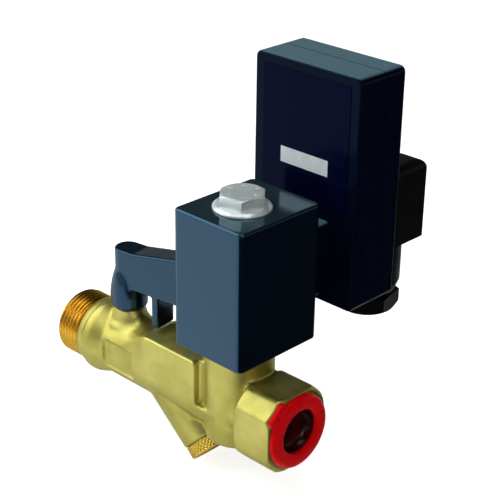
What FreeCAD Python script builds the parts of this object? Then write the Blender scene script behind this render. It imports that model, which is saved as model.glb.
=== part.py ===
# Timer controlled condensate drain valve: ball valve, strainer, solenoid valve and timer in one unit
# Frame: origin on the pipe's axis where the full inlet thread starts, X along the pipe to the outlet,
# Y from the solenoid coil to the timer, Z up. Millimetres.
import FreeCAD, Part
import math
import os
import re
import Sketcher
from FreeCAD import Placement, Rotation, Vector

doc = FreeCAD.newDocument("DrainValve")
sheet = doc.addObject("Spreadsheet::Sheet", "Sizes")

SIZES = {
    # gaps that many pieces share
    "running_gap": 0.05, "seat_lift": 0.2,
    # inlet end connector with the male thread
    "thread_radius": 13.22, "thread_length": 11.4, "thread_chamfer": 1.0,
    "flange_radius": 13.7, "flange_length": 3.6,
    "inlet_bore": 7.5, "inlet_bore_depth": 7.0,
    "spigot_radius": 11.2, "spigot_length": 4.8,
    # ball valve section of the body
    "collar_radius": 15.0, "collar_length": 3.4, "collar_taper": 6.0, "edge_break": 0.8,
    "barrel_radius": 12.9, "stem_place": 27.9, "port_radius": 5.0,
    "ball_radius": 8.6, "ball_gap": 0.05, "chamber_radius": 9.4,
    "seat_reach": 8.1, "seat_inner": 5.4, "seat_start": 6.0,
    "boss_radius": 6.5, "boss_top": 15.4, "boss_flare": 2.2,
    "stem_radius": 2.5, "stem_gap": 0.05, "stem_collar_radius": 4.0, "stem_collar_top": 10.4,
    "stem_collar_height": 1.4, "tang_width": 3.0, "tang_length": 7.0, "slot_depth": 2.2,
    "packing_height": 2.2, "square_side": 3.6,
    "pad_start": 25.8, "pad_end": 42.4, "pad_half_height": 5.7, "pad_floor": 11.3,
    # strainer branch
    "branch_place": 52.1, "branch_angle": 45.0, "branch_root": 12.4, "branch_end": 11.0,
    "branch_length": 29.6, "strainer_bore": 8.3, "plug_thread": 9.2, "plug_engagement": 7.5,
    "screen_radius": 6.6, "screen_wall": 0.5, "screen_start": 3.0, "screen_gap": 0.3,
    "plug_head_radius": 10.7, "plug_head": 4.9, "plug_bevel": 0.6,
    "plug_groove": 1.3, "plug_groove_width": 1.8, "plug_pilot": 3.0,
    # solenoid section of the body
    "tube_place": 87.6, "column_radius": 12.6, "coil_seat": 24.0,
    "shoulder_start": 49.0, "shoulder_end": 77.1, "shoulder_top": 16.4, "shoulder_round": 1.6,
    "seat_floor": 15.0, "seat_top": 17.6, "seat_outer": 3.6, "orifice_radius": 2.25,
    "tube_thread": 9.8, "tube_thread_depth": 6.6, "gallery_radius": 7.8, "rise_radius": 2.2,
    "rise_foot_x": 74.6, "rise_foot_z": -12.0, "rise_head_x": 81.6,
    # outlet block
    "block_start": 98.3, "outlet_face": 115.7, "block_flats": 29.2, "block_chamfer": 6.0,
    "block_bevel": 0.7, "neck_radius": 11.6, "outlet_thread": 9.32, "outlet_thread_end": 100.6,
    "mouth_radius": 10.7, "mouth_depth": 4.6, "passage_radius": 4.6,
    # armature tube and what moves in it
    "tube_inner": 6.2, "tube_wall": 0.5, "tube_top": 66.0, "tube_foot": 5.8,
    "plunger_radius": 6.1, "plunger_length": 27.0, "plunger_travel": 2.0, "pad_radius": 3.3,
    "pad_height": 2.0, "pad_lift": 0.05, "spring_radius": 4.0, "spring_wire": 0.6,
    "spring_turns": 5.0, "spring_bore": 4.6, "spring_bore_depth": 12.0,
    "stud_radius": 3.6, "ring_radius": 4.6, "ring_side": 1.2,
    # coil
    "coil_width": 33.0, "coil_front": 17.2, "coil_back": 22.4, "coil_height": 52.5,
    "coil_round": 2.4, "coil_edge": 1.0, "coil_bore": 7.1, "frame_half": 12.0, "frame_sheet": 3.0,
    "frame_front": 12.0, "frame_back": 13.0, "frame_margin": 3.2, "bobbin_wall": 0.9,
    "bobbin_flange": 9.8, "winding_radius": 9.7, "blade_width": 6.3, "blade_sheet": 0.8,
    "blade_reach": 7.2, "blade_pitch": 18.0, "sleeve_wall": 0.9,
    "washer_radius": 10.4, "washer_height": 1.6, "nut_flats": 15.2, "nut_height": 4.3,
    "nut_turn": 12.0, "dimple_radius": 0.8, "dimple_circle": 5.5, "dimple_depth": 0.5,
    # timer
    "timer_shift": 0.6, "timer_width": 48.7, "timer_face": 30.4, "timer_back": 54.1,
    "timer_split": 43.4, "timer_bottom": 33.7, "timer_rise": 45.0,
    "timer_top": "=connector_top + timer_rise", "timer_round": 2.4,
    "timer_edge": 1.0, "timer_wall": 2.0, "seam": 0.3, "socket_side": 27.6, "socket_centre": 52.0,
    "gasket": 0.9, "gasket_inset": 0.6,
    "label_width": 40.0, "label_sheet": 0.25, "label_top": 3.4, "label_rise": 3.5,
    "label_foot": "=socket_centre + socket_side / 2 + label_rise",
    "field_width": 22.1, "field_height": 6.0, "field_rise": 5.9,
    "board_sheet": 1.6, "board_gap": 1.4, "board_margin": 1.0,
    "knob_radius": 5.0, "knob_gap": 0.25, "knob_proud": 2.0, "knob_depth": 2.6, "knob_pitch": 22.0,
    "knob_drop": 16.7, "knob_height": "=timer_top - knob_drop", "knob_slot": 1.2,
    "knob_slot_depth": 1.1, "knob_shaft": 1.6,
    "dial_side": 10.0, "dial_depth": 3.6,
    "button_radius": 3.0, "button_drop": 2.0, "button_height": "=light_height - button_drop",
    "button_proud": 1.8, "button_flange": 1.0,
    "switch_side": 6.0, "switch_depth": 2.6,
    "light_radius": 1.5, "light_pitch": 18.0, "light_drop": 14.0,
    "light_height": "=knob_height - light_drop", "light_proud": 0.8,
    "cover_screw": 1.4, "cover_screw_inset": 5.0, "cover_head": 2.5, "cover_head_depth": 4.0,
    "post_radius": 2.4, "screw_boss": 3.6,
    # cable plug and gland
    "connector_width": 28.6, "connector_bottom": 44.3, "connector_top": 75.7,
    "connector_back": 84.5, "connector_round": 3.6, "connector_wall": 1.8,
    "gland_place": 69.5, "neck_outer": 12.7, "neck_bottom": 27.6, "neck_taper": 4.6,
    "gland_thread": 9.6, "gland_thread_end": 17.4, "gland_bore": 7.6,
    "gland_flats": 22.4, "gland_turn": 42.0, "gland_bottom": 15.2, "gland_top": 22.0, "gland_mouth": 5.4,
    "gland_floor": 2.0, "grommet_inner": 4.0, "grommet_height": 8.0, "grommet_washer": 0.8,
    "block_side": 20.0, "block_depth": 13.0, "plug_blade_reach": 8.0, "screw_radius": 1.5, "screw_head": 2.9,
    "screw_well": 3.4, "screw_well_depth": 7.5,
    # lever
    "lever_turn": 8.0, "lever_length": 37.0, "lever_thickness": 10.8, "lever_bottom": 26.4,
    "lever_top": 42.0, "hub_bottom": 15.9, "hub_radius": 6.6, "hub_straight": 8.0,
    "hub_shoulder": 31.0, "lug_start": 9.6, "lug_end": 20.2, "lug_bottom": 14.4,
    "lug_thickness": 7.0, "lever_round": 1.0, "socket_depth": 10.0,
    # shipping cap in the outlet
    "cap_radius": 14.1, "cap_flange": 2.2, "cap_skirt": 10.3, "cap_skirt_length": 4.2,
    "cap_wall": 1.4, "cap_mouth": 8.4, "cap_tab_width": 7.0, "cap_tab_reach": 17.6,
    "cap_tab_angle": 45.0,
}

for row, (word, value) in enumerate(SIZES.items(), start=1):
    sheet.set("A%d" % row, word)
    sheet.set("B%d" % row, str(value))
    sheet.setAlias("B%d" % row, word)
doc.recompute()

# Places that several pieces share, written from the sizes above
BODY_START = "thread_length + flange_length"
COIL_TOP = "coil_seat + coil_height"
TIMER_X = "tube_place + timer_shift"
SOCKET_FACE = "coil_back + gasket"
PLUG_FACE = "timer_back + gasket"
PLUG_CENTRE = "(connector_bottom + connector_top) / 2"
BOARD_FACE = "timer_split + board_gap"
BOARD_BACK = "timer_split + board_gap + board_sheet"
REAR_SKIN = "timer_back - timer_wall"

pieces = []


def bound(text):
    """Point each size name in an expression at its cell."""
    return re.sub(r"[a-z_]+", lambda m: "Sizes." * (m.group() in SIZES) + m.group(), text)


def value(text):
    return float(sheet.evalExpression(bound(text)))


def place(item, at, axis="Z", turn=None):
    """Stand an object at a point, with its own Z along the named direction."""
    turns = {
        "Z": Rotation(),
        "X": Rotation(Vector(0, 1, 0), 90),
        "Y": Rotation(Vector(1, 0, 0), -90),
        "branch": Rotation(Vector(0, 1, 0), 90),
    }
    item.Placement = Placement(Vector(), turns[axis])
    if axis == "branch":
        item.setExpression("Placement.Rotation.Angle", bound("branch_angle + 90"))
    if turn:
        item.Placement = Placement(Vector(), Rotation(Vector(0, 0, 1), 1))
        item.setExpression("Placement.Rotation.Angle", bound(turn))
    for letter, text in zip("xyz", at):
        item.setExpression("Placement.Base." + letter, bound(text))
    return item


def solid(kind, name, sizes, at, axis="Z", turn=None):
    item = doc.addObject("Part::" + kind, name)
    for prop, text in sizes.items():
        item.setExpression(prop, bound(text))
    return place(item, at, axis, turn)


def rod(name, radius, length, at, axis="Z"):
    return solid("Cylinder", name, {"Radius": radius, "Height": length}, at, axis)


def brick(name, low, high):
    sizes = {p: "(%s) - (%s)" % (b, a) for p, a, b in zip(("Length", "Width", "Height"), low, high)}
    return solid("Box", name, sizes, low)


def hexagon(name, flats, height, at, turn=None):
    item = doc.addObject("Part::Prism", name)
    item.Polygon = 6
    item.setExpression("Circumradius", bound("(%s) / sqrt(3)" % flats))
    item.setExpression("Height", bound(height))
    return place(item, at, "Z", turn)


def fuse(name, items):
    joined = doc.addObject("Part::MultiFuse", name)
    joined.Shapes = items
    joined.Refine = True
    return joined


def cut(name, base, tools):
    tool = tools[0] if len(tools) == 1 else fuse(name + "Tools", tools)
    result = doc.addObject("Part::Cut", name)
    result.Base = base
    result.Tool = tool
    return result


def common(name, items):
    result = doc.addObject("Part::MultiCommon", name)
    result.Shapes = items
    return result


def edges_where(item, test):
    doc.recompute()
    return [n for n, edge in enumerate(item.Shape.Edges, start=1) if test(edge)]


def rounded(name, base, radius, test, kind="Fillet"):
    """Round or bevel the edges of a piece that pass a test."""
    size = value(radius)
    item = doc.addObject("Part::" + kind, name)
    item.Base = base
    item.Edges = [(n, size, size) for n in edges_where(base, test)]
    return item


def along(edge, axis):
    if edge.Curve.TypeId != "Part::GeomLine":
        return False
    return abs(abs(getattr(edge.Curve.Direction, axis)) - 1) < 1e-6


def level(edge, axis, text):
    """True where a whole edge lies at one height along an axis."""
    box = edge.BoundBox
    low, high = getattr(box, axis.upper() + "Min"), getattr(box, axis.upper() + "Max")
    return abs(low - value(text)) < 1e-3 and abs(high - value(text)) < 1e-3


def sketch_on(body, role, corners):
    """Draw a closed outline of straight lines whose corners are bound to the sheet."""
    plane = next(f for f in body.Origin.OriginFeatures if f.Role == role)
    sketch = body.newObject("Sketcher::SketchObject", body.Name + "Outline")
    sketch.AttachmentSupport = [(plane, "")]
    sketch.MapMode = "FlatFace"
    points = [Vector(value(x), value(y), 0) for x, y in corners]
    for start, end in zip(points, points[1:] + points[:1]):
        sketch.addGeometry(Part.LineSegment(start, end), False)
    count = len(points)
    for n in range(count):
        sketch.addConstraint(Sketcher.Constraint("Coincident", n, 2, (n + 1) % count, 1))
    for n, (corner, point) in enumerate(zip(corners, points)):
        for kind, axis, text, size in (("DistanceX", -2, corner[0], point.x),
                                       ("DistanceY", -1, corner[1], point.y)):
            if text == "0":
                sketch.addConstraint(Sketcher.Constraint("PointOnObject", n, 1, axis))
                continue
            index = sketch.addConstraint(Sketcher.Constraint(kind, -1, 1, n, 1, size))
            sketch.setExpression("Constraints[%d]" % index, bound(text))
    return sketch


def turned(name, corners, at=("0", "0", "0"), axis="Z"):
    """Turn an outline of (radius, height) corners about the piece's own Z axis."""
    body = doc.addObject("PartDesign::Body", name)
    sketch = sketch_on(body, "XZ_Plane", corners)
    spin = body.newObject("PartDesign::Revolution", name + "Turned")
    spin.Profile = sketch
    spin.ReferenceAxis = (sketch, ["V_Axis"])
    spin.Angle = 360
    sketch.Visibility = False
    return place(body, at, axis)


def extruded(name, role, corners, length, at):
    """Pad an outline drawn on one of the piece's own planes."""
    body = doc.addObject("PartDesign::Body", name)
    sketch = sketch_on(body, role, corners)
    pad = body.newObject("PartDesign::Pad", name + "Pad")
    pad.Profile = sketch
    pad.setExpression("Length", bound(length))
    sketch.Visibility = False
    for letter, text in zip("xyz", at):
        body.setExpression("Placement.Base." + letter, bound(text))
    return body


def octagon(side, corner):
    """Corners of a square with bevelled corners, from its own lower left corner."""
    far = "%s - %s" % (side, corner)
    return [(corner, "0"), (far, "0"), (side, corner), (side, far),
            (far, side), (corner, side), ("0", far), ("0", corner)]


def part(name, item):
    item.Label = name
    pieces.append(item)
    return item


# Brass body with its ball chamber, strainer branch, solenoid seat and outlet block

def body_outside():
    barrel = turned("Barrel", [
        ("0", "0"), ("collar_radius - edge_break", "0"), ("collar_radius", "edge_break"),
        ("collar_radius", "collar_length"), ("barrel_radius", "collar_length + collar_taper"),
        ("barrel_radius", "branch_place - (%s)" % BODY_START),
        ("0", "branch_place - (%s)" % BODY_START)], (BODY_START, "0", "0"), "X")
    boss = turned("StemBoss", [
        ("0", "0"), ("boss_radius + boss_flare", "0"),
        ("boss_radius + boss_flare", "barrel_radius - boss_flare"),
        ("boss_radius", "barrel_radius"), ("boss_radius", "boss_top - edge_break / 2"),
        ("boss_radius - edge_break / 2", "boss_top"), ("0", "boss_top")], ("stem_place", "0", "0"))
    run = rod("Run", "barrel_radius", "tube_place - branch_place", ("branch_place", "0", "0"), "X")
    shoulder = brick("Shoulder", ("shoulder_start", "-barrel_radius", "0"),
                     ("shoulder_end", "barrel_radius", "shoulder_top"))
    shoulder = rounded("ShoulderRound", shoulder, "shoulder_round",
                       lambda e: along(e, "y") and e.BoundBox.ZMin > value("shoulder_top") - 0.01)
    column = rod("Column", "column_radius", "coil_seat + barrel_radius",
                 ("tube_place", "0", "-barrel_radius"))
    neck = rod("Neck", "neck_radius", "block_start - tube_place", ("tube_place", "0", "0"), "X")
    branch = solid("Cone", "Branch", {"Radius1": "branch_root", "Radius2": "branch_end",
                                      "Height": "branch_length"},
                   ("branch_place", "0", "0"), "branch")
    web = web_between()
    block = outlet_block()
    return fuse("Casting", [barrel, boss, run, shoulder, column, neck, branch, web, block])


def web_between():
    """Flat web of metal that ties the strainer branch to the run above it."""
    reach = "branch_length * 0.8 / sqrt(2)"
    return extruded("Web", "XZ_Plane", [
        ("0", "%s" % reach), (reach, "0"), ("shoulder_end - branch_place", "%s" % reach)],
        "barrel_radius * 1.5", ("branch_place", "barrel_radius * 0.75", "-(%s)" % reach))


def outlet_block():
    block = extruded("OutletBlock", "YZ_Plane", octagon("block_flats", "block_chamfer"),
                     "outlet_face - block_start",
                     ("block_start", "-block_flats / 2", "-block_flats / 2"))
    far = "outlet_face - block_start"
    lathe = turned("BlockLathe", [
        ("0", "0"), ("block_flats / 2 + block_bevel", "0"),
        ("block_flats / 2 + block_bevel * 3", "block_bevel * 2"),
        ("block_flats / 2 + block_bevel * 3", "%s - block_bevel * 2" % far),
        ("block_flats / 2 + block_bevel", far), ("0", far)], ("block_start", "0", "0"), "X")
    return common("OutletBlockTurned", [block, lathe])


def along_branch(distance):
    """A point on the strainer branch's axis."""
    return ("branch_place + (%s) * sin(branch_angle)" % distance, "0",
            "-(%s) * cos(branch_angle)" % distance)


def body_inside():
    length = "outlet_face - outlet_thread_end"
    seat_walls = turned("SeatGallery", [
        ("seat_outer", "0"), ("gallery_radius", "0"),
        ("gallery_radius", "coil_seat - tube_thread_depth - seat_floor + 0.01"),
        ("seat_outer + 0.6", "coil_seat - tube_thread_depth - seat_floor + 0.01"),
        ("seat_outer - 0.8", "seat_top - seat_floor")], ("tube_place", "0", "seat_floor"))
    rise_height = "seat_floor + 1 - rise_foot_z"
    rise = solid("Cylinder", "Rise", {
        "Radius": "rise_radius",
        "Height": "sqrt((rise_head_x - rise_foot_x) ^ 2 + (%s) ^ 2)" % rise_height},
        ("rise_foot_x", "0", "rise_foot_z"), "X")
    rise.setExpression("Placement.Rotation.Angle",
                       bound("atan((rise_head_x - rise_foot_x) / (%s))" % rise_height))
    return [
        rod("SpigotBore", "spigot_radius + running_gap", "spigot_length + running_gap",
            (BODY_START, "0", "0"), "X"),
        rod("BallChamber", "chamber_radius", "stem_place + seat_reach - (%s)" % BODY_START,
            (BODY_START, "0", "0"), "X"),
        rod("RunBore", "port_radius", "branch_place - stem_place", ("stem_place", "0", "0"), "X"),
        rod("StrainerBore", "strainer_bore", "branch_length - screen_start + 0.01",
            along_branch("screen_start"), "branch"),
        rod("StrainerMouth", "screen_radius - screen_wall", "screen_start + 0.01",
            ("branch_place", "0", "0"), "branch"),
        rod("PlugThread", "plug_thread", "plug_engagement + 0.01",
            along_branch("branch_length - plug_engagement"), "branch"),
        rod("StemBore", "stem_radius + stem_gap", "boss_top", ("stem_place", "0", "1")),
        rod("PackingBore", "stem_collar_radius + stem_gap", "stem_collar_top + packing_height - 2",
            ("stem_place", "0", "2")),
        rod("TubeThread", "tube_thread", "tube_thread_depth + 0.01",
            ("tube_place", "0", "coil_seat - tube_thread_depth")),
        seat_walls, rise,
        rod("Orifice", "orifice_radius", "seat_top", ("tube_place", "0", "0")),
        rod("OutletPassage", "passage_radius", "outlet_thread_end - tube_place + 3",
            ("tube_place - 3", "0", "0"), "X"),
        rod("OutletThread", "outlet_thread", length + " + 0.01", ("outlet_thread_end", "0", "0"), "X"),
        rod("OutletMouth", "mouth_radius", "mouth_depth + 0.01",
            ("outlet_face - mouth_depth", "0", "0"), "X"),
        brick("RatingPad", ("pad_start", "-barrel_radius - 1", "-pad_half_height"),
              ("pad_end", "-pad_floor", "pad_half_height")),
    ]


def make_body():
    part("valve_body", cut("ValveBody", body_outside(), body_inside()))


def make_inlet():
    lead = "thread_chamfer + "
    step = lead + "thread_length"
    face = lead + BODY_START
    end = face + " + spigot_length"
    narrow = lead + "inlet_bore_depth"
    part("inlet_adapter", turned("InletAdapter", [
        ("inlet_bore", "0"), ("thread_radius - thread_chamfer", "0"), ("thread_radius", "thread_chamfer"),
        ("thread_radius", "thread_length"), ("thread_radius - thread_chamfer", step),
        ("flange_radius - edge_break / 2", step), ("flange_radius", step + " + edge_break / 2"),
        ("flange_radius", face + " - edge_break"), ("flange_radius - edge_break", face),
        ("spigot_radius", face), ("spigot_radius", end), ("port_radius", end),
        ("port_radius", narrow + " + inlet_bore - port_radius"), ("inlet_bore", narrow),
    ], ("-thread_chamfer", "0", "0"), "X"))


def make_ball_valve():
    ball = solid("Sphere", "BallBlank", {"Radius": "ball_radius"}, ("stem_place", "0", "0"))
    port = rod("BallPort", "port_radius", "2 * ball_radius", ("-ball_radius", "0", "0"), "X")
    half_length, half_width = "(tang_length / 2 + seat_lift)", "(tang_width / 2 + running_gap)"
    slot = brick("BallSlot", ("-" + half_length, "-" + half_width, "ball_radius - slot_depth"),
                 (half_length, half_width, "ball_radius"))
    tools = place(fuse("BallTools", [port, slot]), ("stem_place", "0", "0"), turn="lever_turn")
    part("ball", cut("Ball", ball, [tools]))

    rings = []
    for side, start in (("Inlet", "stem_place - seat_reach"), ("Outlet", "stem_place + seat_start")):
        blank = rod("Seat" + side, "chamber_radius", "seat_reach - seat_start", (start, "0", "0"), "X")
        bore = rod("SeatBore" + side, "seat_inner", "seat_reach - seat_start", (start, "0", "0"), "X")
        cup = solid("Sphere", "SeatCup" + side, {"Radius": "ball_radius + ball_gap"},
                    ("stem_place", "0", "0"))
        rings.append(cut("SeatRing" + side, blank, [bore, cup]))
    part("ball_seat_rings", fuse("BallSeats", rings))

    tang_foot = "ball_radius - slot_depth + 0.1"
    collar_foot = "stem_collar_top - stem_collar_height"
    tang = brick("Tang", ("-tang_length / 2", "-tang_width / 2", tang_foot),
                 ("tang_length / 2", "tang_width / 2", collar_foot))
    tang = common("TangTurned", [tang, rod("TangRound", "stem_collar_radius", "boss_top", ("0", "0", "0"))])
    collar = rod("StemCollar", "stem_collar_radius", "stem_collar_height", ("0", "0", collar_foot))
    shank = rod("StemShank", "stem_radius", "hub_bottom + 0.6 - stem_collar_top",
                ("0", "0", "stem_collar_top"))
    square = brick("StemSquare", ("-square_side / 2", "-square_side / 2", "hub_bottom"),
                   ("square_side / 2", "square_side / 2", "hub_bottom + socket_depth - 0.4"))
    stem = fuse("Stem", [tang, collar, shank, square])
    part("valve_stem", place(stem, ("stem_place", "0", "0"), turn="lever_turn"))

    part("stem_packing", turned("StemPacking", [
        ("stem_radius + stem_gap", "0"), ("stem_collar_radius + stem_gap", "0"),
        ("stem_collar_radius + stem_gap", "packing_height - 0.3"),
        ("stem_radius + stem_gap", "packing_height - 0.3"),
    ], ("stem_place", "0", "stem_collar_top + 0.2")))


def make_lever():
    half = "lever_thickness / 2"
    blade = brick("Blade", ("0", "-" + half, "lever_bottom"), ("lever_length", half, "lever_top"))
    blade = rounded("BladeTip", blade, half + " * 0.98",
                    lambda e: along(e, "z") and e.BoundBox.XMin > value("lever_length") - 0.01)
    hub_end = rod("HubEnd", half, "lever_top - lever_bottom", ("0", "0", "lever_bottom"))
    skirt = turned("HubSkirt", [
        ("0", "0"), ("hub_radius", "0"), ("hub_radius", "hub_straight"),
        ("lever_thickness / 2", "hub_shoulder - hub_bottom"), ("0", "hub_shoulder - hub_bottom")],
        ("0", "0", "hub_bottom"))
    lug = brick("StopLug", ("lug_start", "-lug_thickness / 2", "lug_bottom"),
                ("lug_end", "lug_thickness / 2", "lever_bottom"))
    rib = brick("LugRib", ("0", "-lug_thickness / 4", "lever_bottom - lug_thickness"),
                ("lug_start", "lug_thickness / 4", "lever_bottom"))
    whole = fuse("LeverBlank", [blade, hub_end, skirt, lug, rib])
    whole = rounded("LeverRounded", whole, "lever_round", lambda e: level(e, "z", "lever_top"))
    side = "(square_side / 2 + stem_gap)"
    socket = brick("SquareSocket", ("-" + side, "-" + side, "hub_bottom"),
                   (side, side, "hub_bottom + socket_depth"))
    shank = rod("ShankRelief", "stem_radius + stem_gap", "edge_break", ("0", "0", "hub_bottom"))
    lever = cut("Lever", whole, [socket, shank])
    part("lever_handle", place(lever, ("stem_place", "0", "0"), turn="lever_turn"))


def make_strainer():
    end = "branch_length - plug_engagement"
    part("strainer_screen", turned("StrainerScreen", [
        ("screen_radius - screen_wall", "0"), ("screen_radius", "0"),
        ("screen_radius", "%s - screen_start - screen_gap" % end),
        ("screen_radius - screen_wall", "%s - screen_start - screen_gap" % end),
    ], along_branch("screen_start + screen_gap / 2"), "branch"))

    head = "branch_length + seat_lift"
    spigot = "screen_radius - screen_wall - screen_gap"
    thread = "plug_thread - running_gap"
    shoulder = "plug_pilot + plug_engagement"
    top = shoulder + " + plug_head"
    plug = turned("StrainerPlug", [
        ("0", "0"), (spigot, "0"), (spigot, "plug_pilot"), (thread, "plug_pilot"), (thread, shoulder),
        ("plug_head_radius - plug_bevel", shoulder), ("plug_head_radius", shoulder + " + plug_bevel"),
        ("plug_head_radius", top + " - plug_bevel"), ("plug_head_radius - plug_bevel", top), ("0", top)],
        along_branch("%s - plug_engagement - plug_pilot" % head), "branch")
    groove = turned("PlugGroove", [
        ("plug_thread - plug_groove", "0"), ("plug_thread + seat_lift", "0"),
        ("plug_thread + seat_lift", "plug_groove_width"),
        ("plug_thread - plug_groove", "plug_groove_width")],
        along_branch("%s - 2.6" % head), "branch")
    part("strainer_plug", cut("StrainerPlugCut", plug, [groove]))
    part("strainer_plug_ring", ring_of_rubber("PlugRing", "plug_thread - 0.75", "0.55",
                                              along_branch("%s - 1.7" % head), "branch"))


def ring_of_rubber(name, radius, half, at, axis="Z"):
    """A sealing ring, drawn with eight sides around its section."""
    flat = "(%s) * 0.414" % half
    sides = [("+", half, "-", flat), ("+", half, "+", flat), ("+", flat, "+", half), ("-", flat, "+", half),
             ("-", half, "+", flat), ("-", half, "-", flat), ("-", flat, "-", half), ("+", flat, "-", half)]
    return turned(name, [("(%s) %s %s" % (radius, across_sign, out), "0 %s %s" % (up_sign, rise))
                         for across_sign, out, up_sign, rise in sides], at, axis)


# Solenoid: the tube with its core, the plunger that lifts off the seat, and the coil around them

def make_armature():
    outer = "tube_inner + tube_wall"
    part("armature_tube", turned("ArmatureTube", [
        ("tube_inner", "0"), ("tube_thread - running_gap", "0"), ("tube_thread - running_gap", "tube_foot"),
        (outer, "tube_foot"), (outer, "tube_top - coil_seat + tube_thread_depth - 0.4"),
        ("tube_inner", "tube_top - coil_seat + tube_thread_depth - 0.4"),
    ], ("tube_place", "0", "coil_seat - tube_thread_depth + 0.4")))
    part("tube_seal_ring", ring_of_rubber("TubeRing", "tube_thread - 0.9", "0.6",
                                          ("tube_place", "0", "coil_seat + 0.25")))

    rest = "seat_top + pad_lift"
    plunger_foot = "%s + pad_height - 1" % rest
    plunger = turned("Plunger", [
        ("0", "1"), ("pad_radius", "1"), ("pad_radius", "0"), ("plunger_radius - 0.8", "0"),
        ("plunger_radius", "0.8"), ("plunger_radius", "plunger_length - 0.5"),
        ("plunger_radius - 0.5", "plunger_length"), ("spring_bore", "plunger_length"),
        ("spring_bore", "plunger_length - spring_bore_depth"), ("0", "plunger_length - spring_bore_depth")],
        ("tube_place", "0", plunger_foot))
    part("plunger", plunger)
    part("plunger_seal", rod("PlungerSeal", "pad_radius", "pad_height", ("tube_place", "0", rest)))

    core_foot = "%s + plunger_length + plunger_travel + running_gap" % plunger_foot
    slim = "tube_inner - running_gap"
    core = turned("FixedCore", [
        ("0", "0"), ("tube_inner - 0.9", "0"), (slim, "0.9"),
        (slim, "tube_top - (%s)" % core_foot),
        ("tube_inner - 1", "tube_top + 1 - (%s)" % core_foot),
        ("stud_radius", "tube_top + 1 - (%s)" % core_foot),
        ("stud_radius", "%s + washer_height + nut_height - 1.2 - (%s)" % (COIL_TOP, core_foot)),
        ("0", "%s + washer_height + nut_height - 1.2 - (%s)" % (COIL_TOP, core_foot))],
        ("tube_place", "0", core_foot))
    groove = turned("CoreGroove", [
        ("ring_radius - ring_side / 2", "0"), ("ring_radius + ring_side / 2", "0"),
        ("ring_radius + ring_side / 2", "ring_side"), ("ring_radius - ring_side / 2", "ring_side")],
        ("tube_place", "0", core_foot))
    part("fixed_core", cut("FixedCoreCut", core, [groove]))
    part("shading_ring", turned("ShadingRing", [
        ("ring_radius - ring_side / 2", "0.1"), ("ring_radius + ring_side / 2", "0.1"),
        ("ring_radius + ring_side / 2", "ring_side"), ("ring_radius - ring_side / 2", "ring_side")],
        ("tube_place", "0", core_foot)))

    spring_foot = "%s + plunger_length - spring_bore_depth + 0.1" % plunger_foot
    make_coil_spring("plunger_spring", spring_foot, "%s - (%s)" % (core_foot, spring_foot),
                     ("tube_place", "0"))


def make_coil_spring(name, foot, height, centre):
    """A wire with a six-sided section, wound as an upright helix between two faces."""
    wire = value("spring_wire") / 2
    length = value(height) - value("spring_wire") - value("seat_lift")
    radius = value("spring_radius")
    helix = Part.makeHelix(length / value("spring_turns"), length, radius)
    corners = [Vector(radius + wire * math.cos(math.pi * n / 3), 0, wire * math.sin(math.pi * n / 3))
               for n in range(6)]
    ring = Part.makePolygon(corners + corners[:1])
    item = doc.addObject("Part::Feature", name)
    item.Shape = Part.Wire(helix).makePipeShell([ring], True, True)
    lift = value(foot) + wire + value("seat_lift") / 2
    item.Placement = Placement(Vector(value(centre[0]), value(centre[1]), lift), Rotation())
    part(name, item)


def coil_box(name, side, front, back, low, high):
    return brick(name, ("tube_place - (%s)" % side, "-(%s)" % front, low),
                 ("tube_place + (%s)" % side, back, high))


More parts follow.
